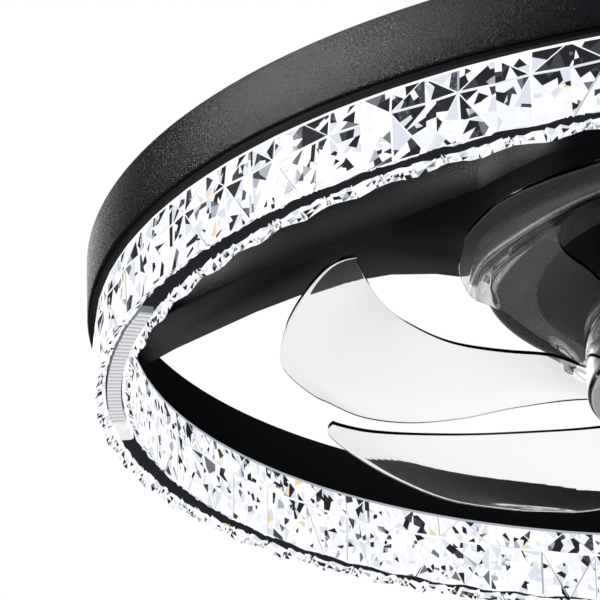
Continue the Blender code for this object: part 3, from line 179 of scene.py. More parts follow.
def brushed_metal(name, tone, roughness, scale=(40.0, 40.0, 1200.0), metallic=1.0):
    """Machined or drawn metal with fine lines one way."""
    metal = Finish(name)
    lines = metal.noise(1.0, 4.0, 0.6, metal.place(scale))
    metal.set(Metallic=metallic)
    metal.set(Base_Color=metal.mix(lines, tinted(tone, 0.82), tinted(tone)))
    metal.set(Roughness=lines * 0.16 + (roughness - 0.08))
    metal.bump(lines, 0.05, 0.0002)
    return metal.block


def moulded_plastic(name, tone, roughness):
    """Matt moulded plastic with a fine texture."""
    plastic = Finish(name)
    pebble = plastic.noise(900.0, 2.0, 0.5)
    plastic.set(Base_Color=plastic.mix(pebble, tinted(tone, 0.9), tinted(tone)))
    plastic.set(Roughness=pebble * 0.1 + (roughness - 0.05))
    plastic.bump(pebble, 0.15, 0.0002)
    return plastic.block


def clear_sheet(name, tint):
    """Clear moulded plastic, very faintly uneven as moulded sheets are."""
    clear = Finish(name)
    wave = clear.noise(22.0, 1.0, 0.4)
    clear.set(Transmission_Weight=1.0, IOR=1.4, Base_Color=tinted(tint), Roughness=0.015)
    clear.bump(wave, 0.04, 0.001)
    return clear.block


def painted_refraction_edge():
    """The blades' polished edge, which looks darker than the sheet: half opaque and pale grey, a
    painted stand-in for the lines that refraction draws along a clear edge.
    """
    rim = Finish("blade_edge_painted_refraction")
    rim.set(Transmission_Weight=0.45, IOR=1.49, Base_Color=(0.86, 0.88, 0.9, 1.0), Roughness=0.08)
    return rim.block


def cut_crystal():
    """Cut crystal: each facet gives off the tone in its "facet" attribute, dark, grey or lit. The
    glow stands for the ring's own light; the tones are painted reflections and refractions, and the
    warm stop is a painted glint.
    """
    cut = Finish("cut_crystal_finish")
    tone = cut.node("ShaderNodeAttribute", {"attribute_name": "facet"}, output="Fac")
    painted_tone_jitter = cut.noise(900.0, 2.0, 0.6)
    stops = [
        (0.0, (0.016, 0.017, 0.02, 1.0)),
        (0.14, (0.05, 0.054, 0.062, 1.0)),
        (0.2, (0.17, 0.18, 0.21, 1.0)),
        (0.27, (0.42, 0.45, 0.5, 1.0)),
        (0.36, (0.72, 0.76, 0.84, 1.0)),
        (0.5, (0.9, 0.92, 0.96, 1.0)),
        (0.64, (1.0, 1.0, 1.0, 1.0)),
        # Painted glint: the warm stop, for a rare facet.
        (0.985, (0.85, 0.66, 0.42, 1.0)),
    ]
    settings = {"stops": stops, "interpolation": "CONSTANT"}
    colour = cut.node("ShaderNodeValToRGB", settings, {"Fac": tone + (painted_tone_jitter - 0.5) * 0.14})
    cut.glow(colour, (0.01, 0.01, 0.012, 1.0), 0.97, 0.08, 1.0)
    cut.set(Specular_IOR_Level=0.1)
    return cut.block


def ribbed_clear():
    """Clear ribbed plastic lit from the side: pale crowns and dark roots."""
    ribbed = Finish("ribbed_strip_finish")
    where = ribbed.node("ShaderNodeTexCoord", output="Object")
    height = ribbed.node("ShaderNodeSeparateXYZ", values={"Vector": where}, output="Z")
    crown = ((up(1.75) - height) * 900.0).math("ADD", 0.25, clamp=True)
    colour = ribbed.mix(crown, (0.2, 0.21, 0.23, 1.0), (0.95, 0.96, 0.98, 1.0))
    ribbed.glow(colour, (0.02, 0.02, 0.02, 1.0), 0.9, 0.12, 0.95)
    ribbed.set(Coat_Weight=0.6)
    return ribbed.block


def lit_block():
    """Clear moulded block full of light, with faint grey streaks."""
    lit = Finish("clear_block_finish")
    streak = lit.noise(160.0, 2.0, 0.5)
    colour = lit.mix(streak, (0.55, 0.57, 0.6, 1.0), (1.0, 1.0, 1.0, 1.0))
    lit.glow(colour, (0.02, 0.02, 0.02, 1.0), 0.9, 0.1, 1.0)
    return lit.block


COAT = satin_black("black_coat_finish", (0.0045, 0.0056, 0.008), 0.26, 0.7, 0.42)
ARM_COAT = satin_black("arm_finish", (0.0035, 0.0042, 0.0052), 0.36, 0.3, 0.12)
INNER_COAT = satin_black("inner_wall_finish", (0.003, 0.0036, 0.0044), 0.4, 0.15, 0.14)
PLATE = satin_black("black_plate_finish", (0.003, 0.0033, 0.004), 0.6, 0.12, 0.1)
COVER = satin_black("cover_finish", (0.0035, 0.0045, 0.0065), 0.28, 1.6, 0.4)
SILVER = brushed_metal("silver_finish", (0.9, 0.91, 0.93), 0.2, (30.0, 30.0, 300.0), 0.2)
STEEL = brushed_metal("steel_finish", (0.55, 0.56, 0.58), 0.34)
ALUMINIUM = brushed_metal("aluminium_finish", (0.7, 0.71, 0.72), 0.4)
COPPER = brushed_metal("copper_finish", (0.62, 0.3, 0.15), 0.36, (300.0, 300.0, 900.0))
MAGNET = satin_black("magnet_finish", (0.05, 0.05, 0.055), 0.5, 0.2)
WHITE_PLASTIC = moulded_plastic("white_plastic_finish", (0.78, 0.78, 0.76), 0.5)
BLACK_PLASTIC = moulded_plastic("black_plastic_finish", (0.02, 0.02, 0.022), 0.5)
BOARD = moulded_plastic("led_board_finish", (0.018, 0.019, 0.021), 0.5)
CLEAR = clear_sheet("clear_plastic_finish", (0.985, 0.99, 0.992))
CRYSTAL = cut_crystal()
RIM = painted_refraction_edge()
RIBBED = ribbed_clear()
BLOCK = lit_block()


# Modelling helpers. A profile's points are a radius and a height over the ring's lower plane,
# in mm.


def nothing_selected():
    """Leave edit mode and deselect everything."""
    if bpy.context.object and bpy.context.object.mode != "OBJECT":
        bpy.ops.object.mode_set(mode="OBJECT")
    bpy.ops.object.select_all(action="DESELECT")


def apply_modifiers(piece):
    """Apply each modifier in turn."""
    bpy.context.view_layer.objects.active = piece
    for modifier in list(piece.modifiers):
        bpy.ops.object.modifier_apply(modifier=modifier.name)


def dress(piece, body, slot, *finishes, stands_for=()):
    """Give a piece its finishes, its body and the nodes that it stands for. The slot is not used.
    """
    piece.data.materials.clear()
    for finish in finishes:
        piece.data.materials.append(finish)
    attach(piece, body)
    if stands_for:
        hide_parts(*stands_for)
    return piece


def trace(name, points):
    """Draw a closed profile in the XZ plane by extruding one vertex from point to point."""
    nothing_selected()
    bpy.ops.mesh.primitive_plane_add(size=MM)
    piece = bpy.context.object
    piece.name = name
    piece.data.name = name
    bpy.ops.object.mode_set(mode="EDIT")
    bpy.ops.mesh.select_all(action="SELECT")
    bpy.ops.mesh.merge(type="CENTER")
    places = [Vector((radius * MM, 0.0, up(height))) for radius, height in points]
    bpy.ops.transform.translate(value=places[0])
    for before, after in zip(places, places[1:] + places[:1]):
        bpy.ops.mesh.extrude_region_move(TRANSFORM_OT_translate={"value": after - before})
    bpy.ops.mesh.select_all(action="SELECT")
    bpy.ops.mesh.remove_doubles(threshold=1e-6)
    return piece


def spin_section(steps, angle, merge=0.0):
    """Spin what is selected clockwise about the fan's axis, and leave edit mode."""
    bpy.ops.mesh.spin(steps=steps, angle=angle, center=CENTRE, axis=AXIS)
    bpy.ops.mesh.select_all(action="SELECT")
    if merge:
        bpy.ops.mesh.remove_doubles(threshold=merge)
    bpy.ops.mesh.normals_make_consistent(inside=False)
    bpy.ops.object.mode_set(mode="OBJECT")


def lathe(name, points, steps=224):
    """Turn a profile about the fan's axis."""
    piece = trace(name, points)
    spin_section(steps, math.tau, merge=2e-6)
    bpy.ops.object.shade_smooth_by_angle(angle=math.radians(30.0))
    return piece


def fillet(centre, radius, start, end, steps):
    """Points of an arc in a profile."""
    turns = [math.radians(start + (end - start) * step / steps) for step in range(steps + 1)]
    return [
        (centre[0] + radius * math.cos(turn), centre[1] + radius * math.sin(turn)) for turn in turns
    ]


def round_edges(piece, width, segments):
    """A bevel, not yet applied, on the edges sharper than 50 degrees. Its width is in mm."""
    rounded = piece.modifiers.new("rounded", "BEVEL")
    rounded.width = width * MM
    rounded.segments = segments
    rounded.limit_method = "ANGLE"
    rounded.angle_limit = math.radians(50)
    return rounded


def turned(piece, degrees):
    """Turn a piece's mesh about the fan's axis, anticlockwise seen from above."""
    piece.data.transform(Matrix.Rotation(math.radians(degrees), 4, "Z"))


# Ring of light

RING_STEPS = 288
INNER_WALL_REACH = 0.2408
CHANNEL_REACH = 0.2489


def make_ring_housing():
    """Outer band, top and inner wall, open below. The walls inside are duller than the band."""
    points = fillet((249.2, 49.2), 0.8, 90, 0, 4)
    points += [(250.0, 28.7), (249.75, 28.1), (249.2, 27.7), (248.8, 27.7), (248.8, 48.8)]
    points += [(241.4, 48.8), (241.4, 29.6), (241.1, 29.3), (240.5, 29.3), (240.2, 29.6)]
    points += fillet((240.8, 49.4), 0.6, 180, 90, 3)
    ring = lathe("ring_housing_shell", points, RING_STEPS)
    dress(ring, FIXED, "black_coat", COAT, INNER_COAT, PLATE, stands_for=["ring_housing"])
    for face in ring.data.polygons:
        reach = Vector((face.center.x, face.center.y, 0.0)).length
        if reach < INNER_WALL_REACH:
            face.material_index = 1
        elif reach < CHANNEL_REACH:
            face.material_index = 2


def make_ring_base():
    """Plate that closes the ring over the crystals."""
    points = [(249.0, 27.4), (249.0, 25.9), (238.4, 25.9), (238.4, 27.4)]
    base = lathe("ring_base_plate", points, RING_STEPS)
    dress(base, FIXED, "black_plate", PLATE, stands_for=["ring_base"])


# Crystal rings. A module is one star and the ribs about it. A few modules are cut in a sheet laid
# out flat, in mm, which is then repeated and rolled up. FIRST_STAR and NEAR_SIDE are degrees.

MODULES = 64
PATTERN = 8
FIRST_STAR = 2.4
NEAR_SIDE = 248.0
STAR_SHARE = 0.66
RIB = 0.42
DIAGONAL = 0.2
END_CUT = 1.1
LOW_EDGE = 1.0
WHOLE, POLISHED, RIBS, ENDS = range(4)

UNDERSIDE_HEIGHT = 2.9
# Tones of the facets' painted light: painted reflections and refractions of lit and dark
# surroundings. The back is painted dark, and the warm tone is a painted glint.
RIM_TONES = (0.8, 0.8, 0.8, 0.8, 0.55, 0.42)
RIB_TONES = (0.8, 0.8, 0.8, 0.55, 0.55, 0.3)
DARK_TONES = (0.03, 0.06, 0.06, 0.12, 0.17)
SMOKY_TONES = (0.19, 0.24, 0.3)
GREY_TONES = (0.42, 0.55, 0.4, 0.48)
PALE_TONES = (0.55, 0.8, 0.8, 0.8)
UNDERSIDE_TONES = (0.8,) * 6 + (0.55,) * 4 + (0.42, 0.42, 0.3, 0.24, 0.12, 0.06, 0.03)
BACK_TONE = 0.03
WARM_GLINT_TONE = 1.0


def only(kind, geometry):
    """The parts of one kind in what a bmesh operator returns."""
    return [part for part in geometry if isinstance(part, kind)]


def cut_face(mesh, face, chance, smallest):
    """Split one facet again and again across its length, until its pieces are small."""
    waiting = [face]
    while waiting:
        facet = waiting.pop()
        if facet.calc_area() < smallest * chance.choice((0.4, 0.8, 1.3, 2.0, 3.2)):
            continue
        middle = facet.calc_center_median()
        far = max((vert.co for vert in facet.verts), key=lambda place: (place - middle).length)
        along = (far - middle).normalized()
        slant = chance.uniform(-0.8, 0.8)
        lean = Vector((along.x * math.cos(slant) - along.y * math.sin(slant), 0.0, 0.0))
        lean.y = along.x * math.sin(slant) + along.y * math.cos(slant)
        made = bmesh.ops.bisect_plane(
            mesh,
            geom=[facet] + list(facet.edges) + list(facet.verts),
            dist=0.02,
            plane_co=middle + (far - middle) * chance.uniform(-0.35, 0.35),
            plane_no=lean.normalized(),
        )
        pieces = only(bmesh.types.BMFace, made["geom"])
        if len(pieces) > 1:
            waiting.extend(pieces)


def score(mesh, faces, place, normal):
    """Score some of the flat sheet along a line."""
    geometry = set(faces)
    for face in faces:
        geometry.update(face.edges)
        geometry.update(face.verts)
    bmesh.ops.bisect_plane(mesh, geom=list(geometry), dist=1e-4, plane_co=place, plane_no=normal)


def star_sheet(pitch, star, top):
    """The flat sheet before any cut: raised stars and sunken corners, joined by triangles."""
    mesh = bmesh.new()
    grid = []
    for column in range(PATTERN * 2 + 1):
        on_star = column % 2 == 1
        depths = (0.6, 0.0, 1.1) if on_star else (1.2, 1.1, 1.2)
        heights = (0.0 if on_star else 1.3, star, top)
        grid.append(
            [mesh.verts.new((column * pitch / 2, y, -z)) for y, z in zip(heights, depths)]
        )
    for column, (left, right) in enumerate(zip(grid, grid[1:])):
        for row in (0, 1):
            a, b, c, d = left[row], right[row], right[row + 1], left[row + 1]
            rising = (column % 2 == 0) == (row == 0)
            for corners in (((a, b, c), (a, c, d)) if rising else ((a, b, d), (b, c, d))):
                mesh.faces.new(corners)
    return mesh


def score_stars(mesh, pitch, star, top):
    """Score both sides of the upright rib and of the four diagonal ribs through each star."""
    half = pitch / 2
    ways = ((1.0, 0.0), (top - star, half), (top - star, -half), (star, half), (star, -half))
    for module in range(PATTERN):
        middle = (module + 0.5) * pitch
        for way in ways:
            upright = way[1] == 0.0
            normal = Vector((way[0], way[1], 0.0)).normalized()
            width = RIB if upright else DIAGONAL
            for side in (-width, width):
                near = []
                for face in mesh.faces:
                    centre = face.calc_center_median()
                    if abs(centre.x - middle) > half:
                        continue
                    above = centre.y > star
                    if upright or above == (way[0] != star):
                        near.append(face)
                score(mesh, near, Vector((middle, star, 0.0)) + normal * side, normal)


def score_ends(mesh, pitch, star):
    """Score the two ends of the sheet, which stay out of the random cuts so that repeats meet."""
    end = PATTERN * pitch
    for place in (END_CUT, end - END_CUT):
        near = [
            face for face in mesh.faces if abs(face.calc_center_median().x - place) < pitch / 2
        ]
        score(mesh, near, (place, 0, 0), (1, 0, 0))
    for height in (3.5, 6.5, 10.0, 13.5, star + 2.5, star + 5.0):
        near = [
            face
            for face in mesh.faces
            if not END_CUT < face.calc_center_median().x < end - END_CUT
        ]
        score(mesh, near, (0, height, 0), (0, 1, 0))


def roughen_rim(mesh, end, chance):
    """Break the sheet's lower edge into short steps of uneven height."""
    place = 0.0
    while place < end - 2.0:
        place += chance.uniform(1.2, 4.5)
        rim = [face for face in mesh.faces if face.calc_center_median().y < LOW_EDGE]
        score(mesh, rim, (min(place, end - 1.0), 0, 0), (1, 0, 0))
    for vert in mesh.verts:
        if vert.co.y < LOW_EDGE - 0.01 and 0.01 < vert.co.x < end - 0.01:
            vert.co.y += chance.uniform(-0.25, 0.3)
            vert.co.y = max(vert.co.y, 0.0)


def flat_pattern(pitch, star, top, chance, smallest):
    """A few modules laid out flat, x along the ring and y up. Polished ribs stay whole."""
    mesh = star_sheet(pitch, star, top)
    band_low, band_high, high = star - 0.4, star + 0.45, top - 1.0
    for height in (LOW_EDGE, band_low, band_high, high):
        score(mesh, list(mesh.faces), (0, height, 0), (0, 1, 0))
    score_stars(mesh, pitch, star, top)
    score_ends(mesh, pitch, star)
    end = PATTERN * pitch
    kept = mesh.faces.layers.int.new("polished")
    for face in mesh.faces:
        centre = face.calc_center_median()
        offset = (centre.x / pitch) % 1.0 * pitch - pitch / 2
        rise = centre.y - star
        run = pitch / 2 / (top - star if rise > 0 else star)
        from_diagonal = abs(abs(offset) - abs(rise) * run) / math.hypot(1.0, run)
        if centre.y < LOW_EDGE or centre.y > high or band_low < centre.y < band_high:
            face[kept] = POLISHED
        elif abs(offset) < RIB or from_diagonal < DIAGONAL:
            face[kept] = RIBS
        elif any(vert.co.x < 1e-3 or vert.co.x > end - 1e-3 for vert in face.verts):
            face[kept] = ENDS
    for face in [face for face in mesh.faces if face[kept] == WHOLE]:
        cut_face(mesh, face, chance, smallest)
    roughen_rim(mesh, end, chance)
    return mesh, kept


def painted_facet_light(face, kind, pitch, star, chance, smallest, top_tone, gloom):
    """How bright one facet's painted light is: a painted reflection or refraction, lit or dark.
    Ribs are mostly lit, and small cuts beside the star often dark.

    More facets are dark towards the ring's near side, as in the reference view.
    """
    centre = face.calc_center_median()
    if kind == POLISHED:
        return top_tone if centre.y > star + 2.0 else chance.choice(RIM_TONES)
    if kind == RIBS:
        return chance.choice(RIB_TONES)
    offset = abs((centre.x / pitch) % 1.0 - 0.5) * 2.0
    dark = 0.24 if face.calc_area() < smallest else 0.13
    if abs(centre.y - star) < 4.0 and 0.08 < offset < 0.75:
        dark += 0.2
    if centre.y > star and offset > 0.6:
        dark += 0.1
    # Painted shade: the share of dark facets grows towards the ring's near side.
    side = math.cos(math.radians(FIRST_STAR - NEAR_SIDE) + math.tau * centre.x / pitch / MODULES)
    near_side_shade = 1.2 if centre.y > star - 7.0 else 0.5
    dark *= gloom * (0.5 + near_side_shade * max(side, 0.0) ** 6)
    # Painted reflection of the black housing: dark upper facets beside the ribs on the inner ring.
    if gloom < 1.0 and centre.y > star + 3.0 and offset > 0.62:
        dark += 0.4
    draw = chance.random()
    if draw < dark:
        return chance.choice(DARK_TONES)
    if draw < dark + 0.07:
        return chance.choice(SMOKY_TONES)
    if draw < dark + 0.27:
        return chance.choice(GREY_TONES)
    return WARM_GLINT_TONE if draw > 0.992 else chance.choice(PALE_TONES)


def crystal_ring(name, node, front, back, top, seed, smallest, top_tone, gloom):
    """One faceted ring: the pattern repeated, toned facet by facet, rolled up and given a back."""
    chance = random.Random(seed)
    outward = 1 if front > back else -1
    pitch = math.tau * front / MODULES
    star = top * STAR_SHARE
    mesh, kept = flat_pattern(pitch, star, top, chance, smallest)
    everything = list(mesh.verts) + list(mesh.edges) + list(mesh.faces)
    for repeat in range(1, MODULES // PATTERN):
        twin = bmesh.ops.duplicate(mesh, geom=everything)
        verts = only(bmesh.types.BMVert, twin["geom"])
        bmesh.ops.translate(mesh, vec=(repeat * PATTERN * pitch, 0, 0), verts=verts)
    facet = mesh.faces.layers.float.new("facet")
    for face in mesh.faces:
        face[facet] = painted_facet_light(
            face, face[kept], pitch, star, chance, smallest, top_tone, gloom
        )
    for vert in mesh.verts:
        turn = vert.co.x / front + math.radians(FIRST_STAR)
        radius = (front + outward * vert.co.z) * MM
        vert.co = (radius * math.cos(turn), radius * math.sin(turn), up(vert.co.y))
    bmesh.ops.remove_doubles(mesh, verts=list(mesh.verts), dist=1e-5)

    border = [edge for edge in mesh.edges if edge.is_boundary]
    grown = bmesh.ops.extrude_edge_only(mesh, edges=border)
    low_back = set()
    for vert in only(bmesh.types.BMVert, grown["geom"]):
        turn = math.atan2(vert.co.y, vert.co.x)
        height = vert.co.z
        if height < up(top / 2):
            height = up(UNDERSIDE_HEIGHT + chance.uniform(-0.7, 0.7))
            low_back.add(vert)
        vert.co = (back * MM * math.cos(turn), back * MM * math.sin(turn), height)
    toned = {face for face in mesh.faces if face[facet] > 0.0}
    spokes = [
        edge for edge in mesh.edges if (edge.verts[0] in low_back) != (edge.verts[1] in low_back)
    ]
    divided = bmesh.ops.subdivide_edges(mesh, edges=spokes, cuts=2, use_grid_fill=True)
    for vert in only(bmesh.types.BMVert, divided["geom_inner"]):
        vert.co.z += chance.uniform(-0.35, 0.35) * MM
        vert.co.xy *= 1.0 + chance.uniform(-0.3, 0.3) / front
    middle = up(top / 2)
    under = [
        face
        for face in mesh.faces
        if face not in toned and face.calc_center_median().z < middle
    ]
    bmesh.ops.triangulate(mesh, faces=under, quad_method="ALTERNATE")
    for face in mesh.faces:
        if face not in toned:
            face[facet] = chance.choice(UNDERSIDE_TONES)
            toned.add(face)
    bmesh.ops.bridge_loops(mesh, edges=[edge for edge in mesh.edges if edge.is_boundary])
    for face in mesh.faces:
        if face not in toned:
            face[facet] = BACK_TONE
    bmesh.ops.recalc_face_normals(mesh, faces=mesh.faces)

    data = bpy.data.meshes.new(name)
    mesh.to_mesh(data)
    mesh.free()
    dress(put_in_scene(name, data), FIXED, "crystal", CRYSTAL, stands_for=[node])


# Ribbed strips. FIRST_STRIP, STRIP_SPACING and STRIP_SPAN are degrees.

STRIPS = 3
FIRST_STRIP = 183.2
STRIP_SPACING = 120.0
STRIP_SPAN = 24.5
STRIP_RIBS = 32
STEPS_PER_RIB = 4
RIB_DEPTH = 0.85


def make_ribbed_strips():
    """Clear strips with fine cross ribs in the channel's mouth."""
    for number in range(STRIPS):
        first = FIRST_STRIP + STRIP_SPACING * number
        section = [(238.4, 1.0), (243.2, 1.0), (243.2, 4.2), (238.4, 4.2)]
        strip = trace(f"ribbed_strip_clear_{number + 1}", section)
        bpy.ops.mesh.edge_face_add()
        spin_section(STRIP_RIBS * STEPS_PER_RIB, math.radians(STRIP_SPAN))
        turned(strip, first + STRIP_SPAN)
        for vertex in strip.data.vertices:
            turn = math.degrees(math.atan2(vertex.co.y, vertex.co.x)) % 360.0
            place = (((turn - first) % 360.0) / STRIP_SPAN * STRIP_RIBS) % 1.0
            if vertex.co.z < up(2.0):
                vertex.co.z += MM * RIB_DEPTH * (0.5 + 0.5 * math.cos(math.tau * place))
        node = f"ribbed_strip_{number + 1}"
        dress(strip, FIXED, "clear_plastic", RIBBED, stands_for=[node])


# Arms, canopy and motor cover

ARMS = 3
COVER_STEPS = 12


def make_arms():
    """Folded arms with rounded edges, from the CAD nodes' own meshes."""
    for number in range(ARMS):
        node = f"arm_{number + 1}"
        nothing_selected()
        arm = put_in_scene(f"{node}_folded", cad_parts[node].data.copy())
        arm.data.name = arm.name
        arm.select_set(True)
        bpy.context.view_layer.objects.active = arm
        bpy.ops.object.mode_set(mode="EDIT")
        bpy.ops.mesh.select_all(action="SELECT")
        bpy.ops.mesh.remove_doubles(threshold=2e-6)
        bpy.ops.mesh.tris_convert_to_quads(
            face_threshold=math.radians(2), shape_threshold=math.radians(40)
        )
        bpy.ops.mesh.dissolve_limited(angle_limit=math.radians(1.0))
        bpy.ops.object.mode_set(mode="OBJECT")
        round_edges(arm, 0.45, 2)
        apply_modifiers(arm)
        bpy.ops.object.shade_smooth_by_angle(angle=math.radians(30))
        dress(arm, FIXED, "black_coat", ARM_COAT, stands_for=[node])


def make_canopy():
    """Spun pan, open above."""
    points = [(108.0, 106.5)] + fillet((107.0, 50.5), 3.0, 0, -90, 6)
    points += [(9.0, 47.5), (9.0, 48.7)]
    points += fillet((107.0, 50.5), 1.8, -90, 0, 4) + [(106.8, 106.5)]
    dress(lathe("canopy_pan", points), FIXED, "black_coat", ARM_COAT, stands_for=["canopy"])


def make_motor_cover():
    """Shallow bowl, elliptical from its rim to the lip of its opening."""
    quarter = [math.radians(90.0 * step / COVER_STEPS) for step in range(1, COVER_STEPS + 1)]

    def ellipse(width, depth, turns):
        return [(91.5 + width * math.cos(turn), 45.2 - depth * math.sin(turn)) for turn in turns]

    points = [(109.7, 47.2), (109.7, 45.2)] + ellipse(18.2, 3.9, quarter)
    points += [(91.3, 41.5), (91.3, 42.6)] + ellipse(16.6, 2.3, reversed(quarter))
    points += [(108.1, 47.2)]
    bowl = lathe("motor_cover_bowl", points)
    dress(bowl, FIXED, "cover_coat", COVER, stands_for=["motor_cover"])


# Fan wheel. The blades' tables are degrees from the blade's own start, and heights and radii in mm.

HUB_STEPS = 160
CAP_REACH = 70.0
CAP_STEPS = 8

BLADES = 7
FIRST_BLADE = 145.0
BLADE_SPACING = 360.0 / BLADES
BLADE_FOOT = 74.1
LEAD_TURNS = (21.0, 23.4, 27.2, 34.2, 46.1, 58.0, 66.8, 71.3)
TRAIL_TURNS = (-24.0, -21.0, -4.6, 8.0, 17.5, 24.5, 30.0, 35.5)
LEAD_HEIGHTS = (20.9, 27.5, 29.0, 28.3, 25.5, 21.0, 18.0, 19.0)
TRAIL_HEIGHTS = (18.3, 27.5, 28.0, 22.0, 14.0, 9.0, 8.0, 10.0)
TIP_RADII = (184.0, 184.0, 183.8, 182.0, 172.0)
ROOT_GAP = 0.24
ROOT_LAG = 1.5


def make_hub():
    """Clear drum and clamp ring, the motor's bell inside them, and the silver cap below."""
    points = fillet((74.9, 2.2), 0.4, -90, 0, 2)
    points += [(75.3, 3.0), (72.6, 3.0), (72.6, 25.3), (70.8, 25.3)]
    points += [(70.8, 11.5), (5.0, 11.5), (5.0, 8.0), (70.8, 8.0), (70.8, 1.8)]
    drum = lathe("hub_drum", points, HUB_STEPS)
    dress(drum, WHEEL, "clear_plastic", CLEAR, stands_for=["blade_hub"])

    points = fillet((73.1, 26.4), 2.2, 90, 0, 6) + [(75.3, 25.6), (70.8, 25.6), (70.8, 28.6)]
    clamp = lathe("clamp_ring_clear", points, HUB_STEPS)
    dress(clamp, WHEEL, "clear_plastic", CLEAR, stands_for=["clamp_ring"])

    points = [(70.2, 35.8), (70.2, 12.4), (69.6, 11.8), (4.4, 11.8)]
    points += [(4.4, 13.8), (68.2, 13.8), (68.2, 35.8)]
    bell = lathe("rotor_bell_turned", points, HUB_STEPS)
    dress(bell, WHEEL, "black_plate", PLATE, stands_for=["rotor_bell"])

    points = [(74.0, 1.5)] + fillet((72.0, 1.1), 2.0, 0, -80, 6)
    for step in range(CAP_STEPS, -1, -1):
        radius = CAP_REACH * step / CAP_STEPS
        points.append((radius if step else 0.01, -3.25 + 2.3 * (radius / 72.0) ** 2))
    points += [(0.01, -2.0), (36.0, -1.4), (68.0, 0.6), (69.3, 6.5), (70.5, 6.5), (70.5, 1.5)]
    cap = lathe("hub_cap_dome", points, HUB_STEPS)
    dress(cap, WHEEL, "silver", SILVER, stands_for=["hub_cap"])


def reading(values, share):
    """A smooth curve through equally spaced values, read at a share of its length."""
    last = len(values) - 1
    index = min(int(share * last), last - 1)
    part = share * last - index
    start, end = values[index], values[index + 1]
    before = values[index - 1] if index else start
    after = values[index + 2] if index + 2 <= last else end
    first, second = (end - before) / 2, (after - start) / 2
    square, cube = part**2, part**3
    return (
        start * (2 * cube - 3 * square + 1)
        + first * (cube - 2 * square + part)
        + end * (3 * square - 2 * cube)
        + second * (cube - square)
    )


def blade_sheet():
    """One blade's swept surface, bent from a flat grid, as a sheet with a rounded edge."""
    nothing_selected()
    bpy.ops.mesh.primitive_grid_add(x_subdivisions=56, y_subdivisions=28, size=2.0)
    blade = bpy.context.object
    blade.name = "blade_1_clear"
    blade.data.name = blade.name
    for vertex in blade.data.vertices:
        share = (vertex.co.x + 1.0) / 2.0
        even = (vertex.co.y + 1.0) / 2.0
        chord = (1.0 - math.cos(math.pi * even)) / 2.0
        lead, trail = reading(LEAD_TURNS, share), reading(TRAIL_TURNS, share)
        high, low = reading(LEAD_HEIGHTS, share), reading(TRAIL_HEIGHTS, share)
        radius = BLADE_FOOT + (reading(TIP_RADII, chord) - BLADE_FOOT) * share
        corner = 6.0 if chord < 0.5 else 2.0
        radius -= corner * abs(2 * chord - 1) ** 14 * share**16
        turn = math.radians(FIRST_BLADE + lead + (trail - lead) * chord)
        height = high + (low - high) * chord
        vertex.co = (radius * MM * math.cos(turn), radius * MM * math.sin(turn), up(height))
    bpy.ops.object.mode_set(mode="EDIT")
    bpy.ops.mesh.select_all(action="SELECT")
    bpy.ops.mesh.normals_make_consistent(inside=False)
    bpy.ops.object.mode_set(mode="OBJECT")
    blade.data.materials.append(CLEAR)
    blade.data.materials.append(RIM)
    sheet = blade.modifiers.new("sheet", "SOLIDIFY")
    sheet.thickness = 1.3 * MM
    sheet.offset = 0.0
    sheet.material_offset_rim = 1
    round_edges(blade, 0.3, 3).material = 0
    apply_modifiers(blade)
    bpy.ops.object.shade_smooth_by_angle(angle=math.radians(40))
    return blade


def blade_root():
    """The curved plate at a blade's foot, which the clamp ring traps."""
    root = trace("blade_root", [(72.9, 3.3), (75.3, 3.3), (75.3, 25.3), (72.9, 25.3)])
    bpy.ops.mesh.edge_face_add()
    spin_section(24, math.radians(BLADE_SPACING - ROOT_GAP))
    vertices = root.data.vertices
    middle = sum((vertex.co for vertex in vertices), Vector()) / len(vertices)
    turned(root, FIRST_BLADE - ROOT_LAG - math.degrees(math.atan2(middle.y, middle.x)))
    return root


def make_blades():
    """Swept clear blades, each with its root plate. All but the first are copies."""
    blade = blade_sheet()
    root = blade_root()
    nothing_selected()
    bpy.context.view_layer.objects.active = blade
    blade.select_set(True)
    join = blade.modifiers.new("root", "BOOLEAN")
    join.operation = "UNION"
    join.object = root
    apply_modifiers(blade)
    bpy.data.objects.remove(root, do_unlink=True)
    bpy.ops.object.shade_smooth_by_angle(angle=math.radians(40))
    fan = [blade]
    for number in range(1, BLADES):
        twin = put_in_scene(f"blade_{number + 1}_clear", blade.data.copy())
        turned(twin, BLADE_SPACING * number)
        twin.data.name = twin.name
        fan.append(twin)
    for number, piece in enumerate(fan, start=1):
        dress(piece, WHEEL, "clear_plastic", CLEAR, RIM, stands_for=[f"blade_{number}"])


# CAD nodes that stay

NODE_FINISHES = {
    "led_board": BOARD,
    "magnet_ring": MAGNET,
    "motor_base": ALUMINIUM,
    "ceiling_bracket": STEEL,
    "stator_core": STEEL,
    "stator_windings": COPPER,
    "driver_box": WHITE_PLASTIC,
    "receiver_box": BLACK_PLASTIC,
    "terminal_block": WHITE_PLASTIC,
    "shaft": STEEL,
    "shaft_collar": STEEL,
    "shaft_nut": STEEL,
    "bearing_upper": STEEL,
    "bearing_lower": STEEL,
}
BRIGHT_SCREWS = ("arm_screw", "wall_screw", "motor_bolt")


def finish_nodes():
    """Finishes for the CAD nodes that stay. What isn't named is black plate, as the plates are."""
    for name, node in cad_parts.items():
        finish = NODE_FINISHES.get(name, PLATE)
        if name.startswith(BRIGHT_SCREWS):
            finish = STEEL
        elif name.startswith("clear_block"):
            finish = BLOCK
        for slot in node.material_slots:
            slot.material = finish


# Studio

RING_RADIUS = 0.25
FRAME_PIXELS = 600.0
LENS_PIXELS = 4086.93
LENS_CENTRE = (298.457, 300.757)
SENSOR = 36.0

